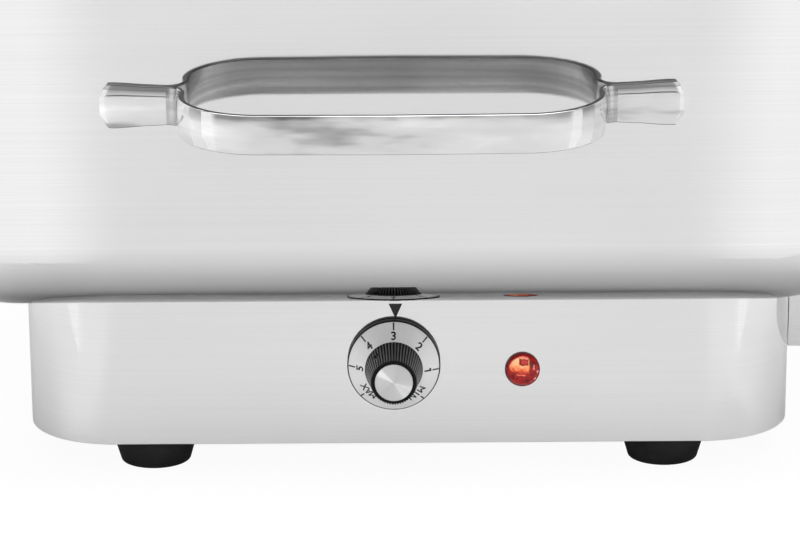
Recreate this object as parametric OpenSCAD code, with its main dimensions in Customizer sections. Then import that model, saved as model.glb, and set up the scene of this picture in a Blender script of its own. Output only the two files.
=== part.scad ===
// Electric chafing dish. A steel base on rubber feet holds the heater, the thermostat and the
// pilot lamp. A drawn water pan stands on it, a food pan hangs in a frame on the water pan's
// rim, and a stepped lid swings on two brackets at the back.
// The control end faces -Y, the hinges are on +X, Z is up, and all sizes are in millimetres.

/* [Base] */
// Width of the base across its control end
base_w = 360; // [350:1:366]
// Length of the base from its control end to its cord end
base_l = 560; // [550:1:568]
// Height of the base above the feet
base_h = 72; // [68:1:80]
// Radius of the base's upright corners
base_r = 44; // [38:1:50]
// Shift of the base towards the hinges from the pan's middle line
base_back = 7; // [0:0.5:8]
// Thickness of the drawn and folded steel sheet
sheet = 1.2; // [1:0.1:1.5]

/* [Feet] */
// Height of a rubber foot
foot_h = 15; // [13:0.5:18]
// Diameter of a foot where it meets the base
foot_d = 37; // [34:0.5:40]
// Diameter of a foot at the floor
foot_end_d = 32; // [28:0.5:33]
// Distance of a foot's axis from the base's long side
foot_in_x = 60; // [54:1:70]
// Distance of a foot's axis from the base's short side
foot_in_y = 25; // [22:0.5:36]

/* [Water pan] */
// Width of the water pan at its rim
pan_w = 453.4; // [447:0.2:461]
// Length of the water pan at its rim
pan_l = 657.4; // [651:0.2:667]
// Height of the water pan
pan_h = 160; // [152:1:170]
// Corner radius of the water pan at its rim
pan_r = 58; // [54:1:62]
// Radius of the turn from the pan's wall into its floor
pan_turn = 33; // [29:1:34]
// Outward lean of the pan's wall in degrees
pan_lean = 4; // [3:0.5:4.5]
// Radius of the rolled bead round the pan's rim
bead_r = 4; // [3.5:0.25:4.5]

/* [Food pan] */
// Width of the food pan over its hanging lip
food_w = 325; // [318:1:330]
// Length of the food pan over its hanging lip
food_l = 530; // [520:1:536]
// Depth of the food pan
food_h = 100; // [65:1:104]
// Width of the hanging lip
food_lip = 13; // [12:0.5:15]

/* [Lid] */
// Height of the lid
lid_h = 84; // [80:1:92]
// Height of the lid's shoulder above its lower edge
lid_shoulder = 46; // [44:1:50]
// Inward lean of the lid's lower wall in degrees
lid_lean = 6; // [4:0.5:7]
// Angle in degrees through which the lid opens to its stop
lid_open = 95; // [85:1:100]

/* [Handles] */
// Length of an end handle over its welded tabs
handle_l = 256; // [244:2:276]
// Length of an end handle's grip
grip_l = 186; // [170:2:196]
// Length of the lid handle over its welded tabs
lid_handle_l = 196; // [184:2:216]
// Length of the lid handle's grip
lid_grip_l = 120; // [110:2:130]
// Reach of a handle's grip from the wall it is welded to
reach = 49; // [44:1:54]
// Width of the handle strap
strap_w = 17.5; // [15:0.5:19]
// Thickness of the handle strap
strap_t = 3.2; // [2.6:0.1:3.8]
// Distance of the end handles' middle line below the pan's rim
handle_down = 61; // [54:1:74]

/* [Dial and lamp] */
// Height of the dial's axis above the base's lower edge
dial_up = 39; // [34:0.5:41]
// Diameter of the dial skirt
dial_d = 43; // [41:0.5:46]
// Diameter of the knob's grip at the dial
knob_d = 26.5; // [24:0.5:28]
// Diameter of the knob's grip at its end
knob_end_d = 21; // [20:0.5:23]
// Length of the knob's grip beyond the dial
knob_h = 20; // [17:0.5:24]
// Rise of the dial's cone from its edge to the grip
cone_h = 6.4; // [4:0.2:8]
// Count of ribs round the grip
ribs = 54; // [48:2:66]
// Height of the pilot lamp's axis above the base's lower edge
lamp_up = 35.7; // [32:0.1:42]
// Distance of the pilot lamp to the right of the dial's axis
lamp_right = 59.4; // [52:0.2:70]
// Diameter of the pilot lamp's lens
lamp_d = 16.2; // [16:0.2:18]

/* [Hinges] */
// Distance of each hinge bracket from the base's short side
hinge_in = 53; // [48:1:80]
// Height of the bracket's lower edge above the base's lower edge
bracket_up = 30; // [20:1:32]
// Thickness of the brackets and of the hinge arms
plate_t = 3; // [2.5:0.25:3.5]
// Diameter of a hinge pin
pin_d = 6; // [5:0.5:7]

/* [Cord gland] */
// Diameter of the hole that the power cord passes through
cord_d = 8; // [7:0.5:9]
// Height of the gland's axis above the base's lower edge
gland_up = 30; // [28:1:40]

/* [Fits] */
// Radial clearance of a turning shaft or pin
run_gap = 0.05; // [0.03:0.01:0.08]
// Radial clearance of a fixed pin in its hole
snug = 0.02; // [0.01:0.01:0.04]
// Radial clearance of a screw or stud in its hole
screw_gap = 0.25; // [0.2:0.05:0.35]
// Clearance between faces that move past each other
free_gap = 0.3; // [0.25:0.05:0.5]

/* [Hidden] */
$fn = 64;
// Least gap between fixed faces, depth by which joined solids run into each other, and the
// size of a cut that goes past everything
hair = 0.05;
sink = 1;
far = 400;

// How far the centre of a drawn wall's turn lies inside the wall's mouth, to a thousandth
function turn_depth(h, r, lean) =
  round(1000 * ((h - r * (1 - sin(lean))) * tan(lean) + r * cos(lean))) / 1000;

// Screws and nuts
screw_r = 2.5;
small_screw_r = 2;
head_h = 3.4;
nut_h = 4;
nut_af = 8;
past_nut = 2;
stud_l = 16;

// Levels of the main pieces
base_z = foot_h;
base_top = base_z + base_h;
rim_z = base_top + pan_h;
frame_z = rim_z + hair;
frame_top = frame_z + sheet;
lid_z = frame_top + free_gap;

// Lid outline and the hem round its lower edge
lid_over = 2;
lid_w = pan_w + 2 * lid_over;
lid_l = pan_l + 2 * lid_over;
lid_r = pan_r + lid_over;
hem_r = 2.4;
hem_out = 2 * hem_r - sheet;
lid_turn = 12;
lid_ledge = 10;
lid_cove = 6;
lid_top_turn = 14;

// Hinge pin place, measured from the pan's middle line
bead_out = 2 * bead_r - sheet;
eye_r = 10;
eye_room = 1.2;
arm_half = 7.5;
pin_up = 5;
pin_from_mid = pan_w / 2 + bead_out + free_gap + eye_room + eye_r;
pin_z = lid_z + pin_up;
arm_angle = 158;
arm_eye_r = 8;
arm_bar_half = 7;
stop_r = 3;
stop_far = 17;
ear_r = 5.5;
stop_angle = arm_angle - lid_open - asin((arm_bar_half + stop_r + free_gap) / stop_far);
ear_reach = stop_far * cos(stop_angle) + ear_r;

// The object's middle along X lies half-way between its two outermost faces
strap_edge = 1.1;
tab_turn = 7;
grip_turn = 34;
lid_grip_up = 22;
grip_tip = (reach - strap_edge) * cos(lid_lean) + (strap_w / 2 - strap_edge) * sin(lid_lean)
  + strap_edge - lid_grip_up * sin(lid_lean);
reach_back = pin_from_mid + max(eye_r, ear_reach);
reach_fore = lid_w / 2 + grip_tip;
mid_x = round(reach_fore - reach_back) / 2;
base_x = mid_x + base_back;
pin_x = mid_x + pin_from_mid;
side_x = base_x + base_w / 2;

// Drawn sections: how far their turns lie inside the mouth of each wall
turn_in = turn_depth(pan_h, pan_turn, pan_lean);
food_r = 46;
food_turn = 20;
food_lean = 3;
food_in = turn_depth(food_h, food_turn, food_lean);
well_gap = 4;
ledge_in = turn_depth(lid_shoulder, lid_turn, lid_lean);
cove_in = ledge_in + lid_ledge;
riser_in = cove_in + lid_cove;
crown_in = riser_in + lid_top_turn;

// Base details. The studs of the pan pass through the base's upper lip, and they stay on the
// flat part of the pan's floor
lip_mid = 8;
lip_past = 6;
stud_land = 5;
flat_half = pan_w / 2 - turn_in;
hold_x = min(base_w / 2 - lip_mid, flat_half - base_back - stud_land);
hold_y = 150;
base_lip = base_w / 2 - hold_x + lip_past;
floor_lip = lip_mid + lip_past;
dial_z = base_z + dial_up;
lamp_z = base_z + lamp_up;
gland_z = base_z + gland_up;
foot_x = base_w / 2 - foot_in_x;
foot_y = base_l / 2 - foot_in_y;
foot_seat = 6;
entry_in = 70;
terminal_side = 70;
earth_side = 60;

// Thermostat and knob, counted outwards from the base's front face
shaft_r = 3;
bush_r = 5;
bush_out = 1.6;
tight_x = 14;
tight_l = 9;
skirt_back = 0.4;
skirt_face = 3.8;
skirt_wall = 1.6;
dial_edge = 0.6;
dial_t = 0.6;
cone_top = skirt_face + cone_h;
cone_line = [[dial_d / 2 - dial_edge, skirt_face], [knob_d / 2 + hair, cone_top]];
cap_d = 17.2;
cap_t = 0.9;
cap_sink = 0.7;
knob_face = cone_top + dial_t + knob_h;
grip_solid = 8;
body_deep = 34;
grub_up = 18.2;
grub_angle = 132;

// Pilot lamp
lamp_tube_r = 6;
lamp_flange_r = 6.8;
lamp_flange_t = 0.6;
lamp_nut_af = 16.2;
lamp_deep = 26;

// Cord gland
gland_wall = 4;
gland_shoulder = 3.6;
gland_r = cord_d / 2 + gland_wall;
gland_af = 2 * (gland_r + gland_shoulder);

// Heater
element_r = 4;
leg_x = [-105, -35, 35, 105];
leg_half = 150;
element_z = base_top - element_r - hair;
clamp_y = 80;
clamp_x = 70;
clamp_t = 3;
clamp_z = element_z - element_r - hair - clamp_t;
shield_side = 55;
shield_end = 110;
shield_under = 32;
shield_foot = 16;
shield_w = base_w - 2 * shield_side;
shield_l = base_l - 2 * shield_end;
shield_h = base_h - shield_under;
bulb_r = 3;
bulb_z = base_top - bulb_r - hair;
bulb_x = 10;
bulb_y = -100;
bulb_l = 100;
tube_r = 1;
tube_up = 15;
tube_z = dial_z + tube_up;
tube_bend = 6;

// Hinge bracket
spacer_t = 2;
bracket_drop = 7;
bracket_low = base_z + bracket_up;
bracket_high = base_top - bracket_drop;
flange_w = 40;
bolt_in = 24;
bolt_edge = 9;
bolt_z = [bracket_low + bolt_edge, bracket_high - bolt_edge];
hinge_y = -base_l / 2 + hinge_in;
washer_t = 0.9;
arm_y = hinge_y + plate_t + hair + washer_t + free_gap;
clip_y = arm_y + plate_t + free_gap;
clip_t = 1;
clip_groove = 0.8;
leaf_w = 38;
leaf_low = 7;
leaf_high = 33;
rivet_r = 2;
rivet_y = [14, 29];

// Flat outline of a rectangle with round corners
module plate(w, l, r) {
  square([w, l - 2 * r], center = true);
  square([w - 2 * r, l], center = true);
  for (x = [-1, 1], y = [-1, 1])
    translate([x * (w / 2 - r), y * (l / 2 - r)]) circle(r);
}

// Flat outline of a hexagon, by its width across flats
module hexagon(af) {
  polygon([for (i = [0:5]) af / sqrt(3) * [cos(60 * i), sin(60 * i)]]);
}

// Quarter of a flat ring, in the quadrant that starts at the given angle
module quarter_ring(r_in, r_out, from) {
  intersection() {
    difference() {
      circle(r_out);
      circle(r_in);
    }
    rotate(from) square(r_out);
  }
}

// Section of a drawn sheet wall that leans outwards from a round turn at y = 0. Its outer
// face would reach x = 0 at height h; it is cut off at height top.
module drawn_wall(h, top, r, lean) {
  nip = 0.002;
  depth = turn_depth(h, r, lean);
  out = [cos(lean), -sin(lean)];
  brow = [-(h - top) * tan(lean), top];
  difference() {
    union() {
      polygon([[-depth, 0], [-depth, r] + (r - nip) * out, brow, [-depth, top]]);
      intersection() {
        translate([-depth, r]) circle(r);
        translate([-depth, 0]) square(r);
      }
    }
    translate([-depth, r]) circle(r - sheet);
    polygon([[-depth - sink, r], [-depth, r] + (r - sheet - nip) * out,
      brow - [sheet / cos(lean), 0], brow + [0, sink] - [sheet / cos(lean), 0],
      [-depth - sink, top + sink]]);
  }
}

// Sweeps a flat section round a rectangle with round corners; the section's x is counted
// outwards from the rectangle's edge
module swept_loop(w, l, r) {
  corners = [[1, 1], [-1, 1], [-1, -1], [1, -1]];
  for (i = [0:3])
    translate([corners[i][0] * (w / 2 - r), corners[i][1] * (l / 2 - r), 0])
      rotate([0, 0, 90 * i])
        rotate_extrude(angle = 90)
          translate([r, 0]) children();
  for (turn = [0, 180])
    rotate([0, 0, turn]) {
      translate([w / 2, l / 2 - r, 0])
        rotate([90, 0, 0])
          linear_extrude(l - 2 * r) children();
      translate([r - w / 2, l / 2, 0])
        rotate([90, 0, 90])
          linear_extrude(w - 2 * r) children();
    }
}

// Places pieces on the base's front face: x to the right, y up, z outwards
module on_front(x, z) {
  translate([x, -base_l / 2, z]) rotate([90, 0, 0]) children();
}

// Places pieces on the base's rear face in the same way
module on_rear(x, z) {
  translate([x, base_l / 2, z]) rotate([90, 0, 180]) children();
}

// Places pieces on the pan's end wall at the control end: -y outwards, z up the wall
module on_pan_end() {
  translate([mid_x, -pan_l / 2, rim_z])
    rotate([pan_lean, 0, 0])
      translate([0, 0, -handle_down]) children();
}

// Places pieces on the lid's back wall: x outwards, z up the wall from the lower edge
module on_lid_back() {
  translate([mid_x + lid_w / 2, 0, lid_z]) rotate([0, -lid_lean, 0]) children();
}

// Makes a hinge piece for the front hinge and its mirror image for the rear one
module both_hinges() {
  children();
  mirror([0, 1, 0]) children();
}

// Section of the handle strap: thickness along x, width along y
module strap_section() {
  square([strap_t - 2 * strap_edge, strap_w], center = true);
  square([strap_t, strap_w - 2 * strap_edge], center = true);
  for (x = [-1, 1], y = [-1, 1])
    translate([x * (strap_t / 2 - strap_edge), y * (strap_w / 2 - strap_edge)])
      circle(strap_edge);
}

// A quarter bend of a strap about an upright axis
module strap_bend(centre, r, from) {
  translate(centre)
    rotate([0, 0, from])
      rotate_extrude(angle = 90)
        translate([r, 0]) strap_section();
}

// A handle bent from one strap, flat on the plane y = 0 and reaching out to +y
module strap_handle(total, grip) {
  tab_round = 14;
  leg = grip / 2 - strap_t / 2;
  bar_y = reach - strap_t / 2;
  shoulder_y = bar_y - grip_turn;
  root_y = strap_t / 2 + tab_turn;
  tab_from = leg + tab_turn;
  translate([grip_turn - leg, bar_y, 0])
    rotate([90, 0, 90])
      linear_extrude(2 * (leg - grip_turn)) strap_section();
  for (side = [0, 1])
    mirror([side, 0, 0]) {
      strap_bend([leg - grip_turn, shoulder_y], grip_turn, 0);
      strap_bend([tab_from, root_y], tab_turn, 180);
      translate([leg, shoulder_y, 0])
        rotate([90, 0, 0])
          linear_extrude(shoulder_y - root_y) strap_section();
      intersection() {
        translate([tab_from, strap_t / 2, 0])
          rotate([90, 0, 90])
            linear_extrude(total / 2 - tab_from) strap_section();
        translate([0, 2 * strap_t, 0])
          rotate([90, 0, 0])
            linear_extrude(4 * strap_t) {
              translate([0, -strap_w]) square([total / 2 - tab_round, 2 * strap_w]);
              translate([total / 2 - tab_round, 0]) circle(tab_round);
            }
      }
    }
}

// Lip folded inwards from the base's wall, by its width over the wall
module base_fold(lip) {
  linear_extrude(sheet)
    difference() {
      plate(base_w - sheet, base_l - sheet, base_r - sheet / 2);
      plate(base_w - 2 * lip, base_l - 2 * lip, base_r - lip);
    }
}

// Base housing: folded steel wall with inward lips at top and bottom
module base_shell() {
  color("silver")
    difference() {
      translate([base_x, 0, base_z]) {
        linear_extrude(base_h)
          difference() {
            plate(base_w, base_l, base_r);
            plate(base_w - 2 * sheet, base_l - 2 * sheet, base_r - sheet);
          }
        translate([0, 0, base_h - sheet]) base_fold(base_lip);
        translate([0, 0, sheet]) base_fold(floor_lip);
      }
      on_front(mid_x, dial_z) {
        cylinder(h = 4 * sheet, r = bush_r + screw_gap, center = true);
        for (x = [-tight_x, tight_x])
          translate([x, 0, 0])
            cylinder(h = 4 * sheet, r = small_screw_r + screw_gap, center = true);
      }
      on_front(mid_x + lamp_right, lamp_z)
        cylinder(h = 4 * sheet, r = lamp_tube_r + screw_gap, center = true);
      on_rear(base_x, gland_z)
        cylinder(h = 4 * sheet, r = gland_r + screw_gap, center = true);
      both_hinges()
        for (z = bolt_z)
          translate([side_x, hinge_y + bolt_in, z])
            rotate([0, 90, 0])
              cylinder(h = 4 * sheet, r = screw_r + screw_gap, center = true);
      hold_places()
        cylinder(h = 4 * sheet, r = screw_r + screw_gap, center = true);
      floor_screw_places()
        cylinder(h = 6 * sheet, r = small_screw_r + hair, center = true);
    }
}

// Places of the four studs that hold the pan, at the base's top
module hold_places() {
  for (x = [-hold_x, hold_x], y = [-hold_y, hold_y])
    translate([base_x + x, y, base_top]) children();
}

// Places of the six screws that hold the floor
module floor_screw_places() {
  for (x = [-1, 1], y = [-1, 0, 1])
    translate([base_x + x * (base_w / 2 - lip_mid), y * hold_y, base_z]) children();
}

// Places of the four feet
module foot_places() {
  for (x = [-1, 1], y = [-1, 1]) foot_place(x, y) children();
}

// Place of one foot, by its side and its end
module foot_place(x, y) {
  translate([base_x + x * foot_x, y * foot_y, 0]) children();
}

// Floor of the base, set into its lower edge, with two fields of cooling slots
module base_floor() {
  slot_l = 70;
  slot_r = 3;
  slot_step = 16;
  slot_far = 105;
  floor_gap = sheet + free_gap;
  color("gainsboro")
    difference() {
      translate([base_x, 0, base_z])
        linear_extrude(sheet)
          difference() {
            plate(base_w - 2 * floor_gap, base_l - 2 * floor_gap, base_r - floor_gap);
            for (end = [-1, 1], i = [-3:3])
              translate([0, end * slot_far + i * slot_step]) plate(slot_l, 2 * slot_r, slot_r - hair);
          }
      foot_places()
        translate([0, 0, base_z])
          cylinder(h = 4 * sheet, r = screw_r + screw_gap, center = true);
      floor_screw_places()
        cylinder(h = 4 * sheet, r = small_screw_r + screw_gap, center = true);
      earth_place()
        cylinder(h = 4 * sheet, r = screw_r + screw_gap, center = true);
    }
}

// Rubber foot: tapered, round at the floor, with a pocket for its screw
module rubber_foot(x, y) {
  edge = 3;
  pocket_r = 6.5;
  end_r = foot_end_d / 2;
  color("black")
    foot_place(x, y)
      rotate_extrude()
        difference() {
          union() {
            polygon([[0, edge], [end_r, edge], [foot_d / 2, foot_h], [0, foot_h]]);
            square([end_r - edge, 2 * edge]);
            translate([end_r - edge, edge]) circle(edge);
          }
          translate([-pocket_r, -edge]) square([2 * pocket_r, foot_h - foot_seat + edge]);
          square([screw_r + screw_gap, foot_h + edge]);
          translate([-foot_d, -edge]) square([foot_d, foot_h + 2 * edge]);
        }
}

module foot_front_left() { rubber_foot(-1, -1); }
module foot_front_right() { rubber_foot(1, -1); }
module foot_rear_left() { rubber_foot(-1, 1); }
module foot_rear_right() { rubber_foot(1, 1); }

// Screws up through the feet and the floor
module foot_screws() {
  color("dimgray")
    foot_places()
      translate([0, 0, foot_h - foot_seat]) {
        translate([0, 0, -head_h]) cylinder(h = head_h, r = 2 * screw_r);
        cylinder(h = foot_seat + sheet + nut_h + past_nut, r = screw_r);
      }
}

// A plain hexagon nut standing on z = 0
module nut() {
  linear_extrude(nut_h)
    difference() {
      hexagon(nut_af);
      circle(screw_r + snug);
    }
}

module foot_nuts() {
  color("dimgray")
    foot_places()
      translate([0, 0, base_z + sheet]) nut();
}

// Self-tapping screws that hold the floor to the base's lower lip
module floor_screws() {
  head_low = 2.2;
  length = 8;
  color("dimgray")
    floor_screw_places() {
      translate([0, 0, -head_low]) cylinder(h = head_low, r = 2 * small_screw_r);
      cylinder(h = length, r = small_screw_r);
    }
}

// Water pan: drawn steel with a leaning wall, a wide turn into its floor and a rolled rim,
// and the studs welded under it for the base and for the heater
module water_pan() {
  color("lightgray") {
    translate([mid_x, 0, base_top]) {
      swept_loop(pan_w, pan_l, pan_r) {
        drawn_wall(pan_h, pan_h - bead_r, pan_turn, pan_lean);
        translate([bead_r - sheet, pan_h - bead_r]) circle(bead_r);
      }
      linear_extrude(sheet)
        plate(pan_w - 2 * turn_in, pan_l - 2 * turn_in, pan_r - turn_in);
    }
    hold_places()
      translate([0, 0, -stud_l])
        cylinder(h = stud_l + sheet / 2, r = screw_r);
    clamp_places()
      translate([0, 0, base_top - stud_l])
        cylinder(h = stud_l + sheet / 2, r = screw_r);
  }
}

// Nuts that hold the pan to the base's upper lip
module pan_nuts() {
  color("dimgray")
    hold_places()
      translate([0, 0, -sheet - nut_h]) nut();
}

// Carrying handle welded to the pan's wall at the control end
module end_handle_front() {
  color("silver")
    on_pan_end()
      rotate([0, 0, 180]) strap_handle(handle_l, grip_l);
}

// Carrying handle at the cord end
module end_handle_rear() {
  color("silver")
    mirror([0, 1, 0])
      on_pan_end()
        rotate([0, 0, 180]) strap_handle(handle_l, grip_l);
}

// Frame that lies on the pan's rim, with a lip inside the wall and an opening for the food pan
module pan_frame() {
  edge_out = 5;
  lip_gap = 1.5;
  lip_in = sheet + lip_gap;
  lip_deep = 10;
  color("gainsboro")
    translate([mid_x, 0, frame_z]) {
      linear_extrude(sheet)
        difference() {
          plate(pan_w + 2 * edge_out, pan_l + 2 * edge_out, pan_r + edge_out);
          plate(food_w - 2 * food_lip + 2 * well_gap, food_l - 2 * food_lip + 2 * well_gap,
            food_r - food_lip + well_gap);
        }
      translate([0, 0, -lip_deep])
        linear_extrude(lip_deep + sheet / 2)
          difference() {
            plate(pan_w - 2 * lip_in, pan_l - 2 * lip_in, pan_r - lip_in);
            plate(pan_w - 2 * lip_in - 2 * sheet, pan_l - 2 * lip_in - 2 * sheet,
              pan_r - lip_in - sheet);
          }
    }
}

// Food pan: drawn steel, hanging by its lip in the frame
module food_pan() {
  color("whitesmoke")
    translate([mid_x, 0, frame_top + sheet - food_h]) {
      swept_loop(food_w, food_l, food_r) {
        translate([-food_lip - sheet, food_h - sheet]) square([food_lip + sheet, sheet]);
        translate([-food_lip, 0]) drawn_wall(food_h, food_h, food_turn, food_lean);
      }
      linear_extrude(sheet)
        plate(food_w - 2 * food_lip - 2 * food_in, food_l - 2 * food_lip - 2 * food_in,
          food_r - food_lip - food_in);
    }
}

// Tubular heating element bent into four legs under the pan's floor
module heating_element() {
  bend_r = (leg_x[1] - leg_x[0]) / 2;
  tail = 34;
  pin_l = 10;
  color("dimgray")
    translate([base_x, 0, element_z]) {
      for (x = leg_x)
        translate([x, leg_half, 0])
          rotate([90, 0, 0]) cylinder(h = 2 * leg_half, r = element_r);
      for (i = [0, 2])
        translate([(leg_x[i] + leg_x[i + 1]) / 2, leg_half, 0])
          rotate_extrude(angle = 180)
            translate([bend_r, 0]) circle(element_r);
      translate([0, -leg_half, 0])
        rotate([0, 0, 180])
          rotate_extrude(angle = 180)
            translate([bend_r, 0]) circle(element_r);
      for (x = [leg_x[0], leg_x[3]])
        translate([x, -leg_half, 0])
          rotate([90, 0, 0]) {
            cylinder(h = tail, r = element_r);
            cylinder(h = tail + pin_l, r = element_r / 2);
          }
    }
}

// Places of the four studs that hold the element clamps
module clamp_places() {
  for (x = [-clamp_x, clamp_x], y = [-clamp_y, clamp_y])
    translate([base_x + x, y, 0]) children();
}

// Two bars that press the element against the pan's floor
module element_clamps() {
  bar_l = 240;
  bar_w = 18;
  color("gray")
    difference() {
      for (y = [-clamp_y, clamp_y])
        translate([base_x, y, clamp_z])
          linear_extrude(clamp_t) plate(bar_l, bar_w, bar_w / 3);
      clamp_places()
        translate([0, 0, clamp_z])
          cylinder(h = 4 * clamp_t, r = screw_r + screw_gap, center = true);
    }
}

module clamp_nuts() {
  color("dimgray")
    clamp_places()
      translate([0, 0, clamp_z - nut_h]) nut();
}

// Bent steel bridge that keeps the heater's glow off the floor
module heat_shield() {
  color("lightgray")
    translate([base_x, shield_l / 2, base_z + sheet])
      rotate([90, 0, 0])
        linear_extrude(shield_l) {
          translate([-shield_w / 2, shield_h - sheet]) square([shield_w, sheet]);
          for (side = [0, 1])
            mirror([side, 0]) {
              translate([shield_w / 2 - sheet, 0]) square([sheet, shield_h]);
              translate([shield_w / 2 - sheet, 0]) square([shield_foot, sheet]);
            }
        }
}

// Thermostat: switch housing with the bush that its shaft turns in
module thermostat_body() {
  body_w = 50;
  body_h = 42;
  round_r = 3;
  back_wall = 4;
  color("ivory")
    on_front(mid_x, dial_z)
      difference() {
        union() {
          translate([0, 0, -sheet - body_deep])
            linear_extrude(body_deep) plate(body_w, body_h, round_r);
          translate([0, 0, -2 * sheet]) cylinder(h = 2 * sheet + bush_out, r = bush_r);
        }
        translate([0, 0, -sheet - body_deep + back_wall])
          cylinder(h = body_deep + 4 * bush_out, r = shaft_r + run_gap);
        for (x = [-tight_x, tight_x])
          translate([x, 0, -tight_l - sink]) cylinder(h = tight_l + sink, r = small_screw_r + snug);
      }
}

module thermostat_screws() {
  head_low = 1.8;
  color("dimgray")
    on_front(mid_x, dial_z)
      for (x = [-tight_x, tight_x])
        translate([x, 0, 0]) {
          translate([0, 0, -tight_l]) cylinder(h = tight_l + head_low / 2, r = small_screw_r);
          cylinder(h = head_low, r = 2 * small_screw_r);
        }
}

// Sensor bulb under the pan's floor, between the element's legs
module sensor_bulb() {
  color("peru")
    translate([mid_x + bulb_x, bulb_y, bulb_z])
      rotate([-90, 0, 0]) cylinder(h = bulb_l, r = bulb_r);
}

// Capillary tube from the thermostat to the bulb, below the element and up inside it
module capillary_tube() {
  start = -base_l / 2 + sheet + body_deep;
  rise = bulb_z - tube_z - 2 * tube_bend;
  lead = 16;
  up_y = bulb_y - 2 * tube_bend - lead;
  color("peru")
    translate([mid_x + bulb_x, 0, 0]) {
      translate([0, start, tube_z])
        rotate([-90, 0, 0]) cylinder(h = up_y - start, r = tube_r);
      translate([0, up_y, tube_z + tube_bend])
        rotate([0, 90, 0])
          rotate_extrude(angle = 90)
            translate([tube_bend, 0]) circle(tube_r);
      translate([0, up_y + tube_bend, tube_z + tube_bend]) cylinder(h = rise, r = tube_r);
      translate([0, up_y + 2 * tube_bend, bulb_z - tube_bend])
        rotate([0, -90, 180])
          rotate_extrude(angle = 90)
            translate([tube_bend, 0]) circle(tube_r);
      translate([0, up_y + 2 * tube_bend, bulb_z])
        rotate([-90, 0, 0]) cylinder(h = bulb_y - up_y - 2 * tube_bend, r = tube_r);
    }
}

// Saddle strip, welded to the pan's floor, that holds the bulb
module bulb_clip() {
  clip_w = 14;
  wing = 10;
  clip_r = bulb_r + 2 * hair;
  color("silver")
    translate([mid_x + bulb_x, bulb_y + bulb_l / 2 + clip_w / 2, base_top])
      rotate([90, 0, 0])
        linear_extrude(clip_w)
          difference() {
            union() {
              translate([0, -bulb_r - hair]) circle(clip_r + sheet);
              translate([-wing, -sheet]) square([2 * wing, sheet]);
              translate([-clip_r - sheet, -bulb_r]) square([2 * clip_r + 2 * sheet, bulb_r]);
            }
            translate([0, -bulb_r - hair]) circle(clip_r);
            translate([-clip_r, -bulb_r]) square([2 * clip_r, bulb_r + sheet]);
            translate([-far / 2, 0]) square(far);
          }
}

// Round overheat cut-out with two welded ears
module overheat_cutout() {
  disc_r = 8.5;
  disc_h = 8;
  ear_l = 34;
  ear_w = 9;
  tab = [3, 0.8, 7];
  color("tan")
    translate([base_x + clamp_x, 0, base_top]) {
      translate([0, 0, -sheet]) linear_extrude(sheet) plate(ear_w, ear_l, ear_w / 3);
      translate([0, 0, -disc_h]) cylinder(h = disc_h, r = disc_r);
      for (x = [-tab[0], tab[0]])
        translate([x - tab[0] / 2, -tab[1] / 2, -disc_h - tab[2]]) cube(tab + [0, 0, sink]);
    }
}

// Terminal block on the floor near the cord gland
module terminal_block() {
  poles = 3;
  pitch = 14;
  deep = 22;
  tall = 17;
  hole_r = 2.6;
  color("white")
    translate([base_x - terminal_side, base_l / 2 - entry_in, base_z + sheet])
      difference() {
        translate([-poles * pitch / 2, -deep / 2, 0]) cube([poles * pitch, deep, tall]);
        for (i = [-1:1])
          translate([i * pitch, 0, tall / 2]) {
            rotate([90, 0, 0]) cylinder(h = 2 * deep, r = hole_r, center = true);
            cylinder(h = tall, r = hole_r);
          }
      }
}

// Place of the earth stud
module earth_place() {
  translate([base_x + earth_side, base_l / 2 - entry_in, base_z]) children();
}

// Earth stud through the floor with its nut tightened on it
module earth_stud() {
  head_t = 2;
  post = 20;
  color("goldenrod")
    earth_place() {
      translate([0, 0, -head_t]) cylinder(h = head_t, r = 2 * screw_r);
      cylinder(h = post, r = screw_r);
      translate([0, 0, sheet]) linear_extrude(nut_h) hexagon(nut_af);
    }
}

// Red lens of the pilot lamp, a low dome on a round flange
module pilot_lens() {
  ledge = 0.4;
  dome_h = 4.6;
  dome_w = lamp_d / 2 - ledge;
  rim = 1;
  ball = (dome_w * dome_w + dome_h * dome_h) / (2 * dome_h);
  color("red")
    on_front(mid_x + lamp_right, lamp_z)
      difference() {
        union() {
          cylinder(h = rim, r = lamp_d / 2);
          intersection() {
            translate([0, 0, rim + dome_h - ball]) sphere(ball);
            translate([0, 0, rim / 2]) cylinder(h = far, r = dome_w);
          }
        }
        translate([0, 0, -rim]) cylinder(h = rim + lamp_flange_t + hair, r = lamp_flange_r + hair);
      }
}

// Lamp holder through the base's front wall
module pilot_body() {
  wall = 1.6;
  end_wall = 4;
  color("dimgray")
    on_front(mid_x + lamp_right, lamp_z)
      difference() {
        union() {
          translate([0, 0, -lamp_deep]) cylinder(h = lamp_deep + lamp_flange_t, r = lamp_tube_r);
          cylinder(h = lamp_flange_t, r = lamp_flange_r);
        }
        translate([0, 0, -lamp_deep + end_wall]) cylinder(h = far, r = lamp_tube_r - wall);
      }
}

module pilot_nut() {
  color("silver")
    on_front(mid_x + lamp_right, lamp_z)
      translate([0, 0, -sheet - nut_h])
        linear_extrude(nut_h)
          difference() {
            hexagon(lamp_nut_af);
            circle(lamp_tube_r + snug);
          }
}

// Cord gland through the rear wall, open for the power cord
module cord_gland() {
  hex_h = 6;
  cap_h = 12;
  thread_l = 13;
  color("black")
    on_rear(base_x, gland_z)
      difference() {
        union() {
          linear_extrude(hex_h) hexagon(gland_af);
          translate([0, 0, hex_h - sink])
            cylinder(h = cap_h + sink, r1 = gland_r + 0.8 * gland_shoulder, r2 = gland_r);
          translate([0, 0, -sheet - thread_l]) cylinder(h = sheet + thread_l + sink, r = gland_r);
        }
        cylinder(h = far, r = cord_d / 2, center = true);
      }
}

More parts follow.
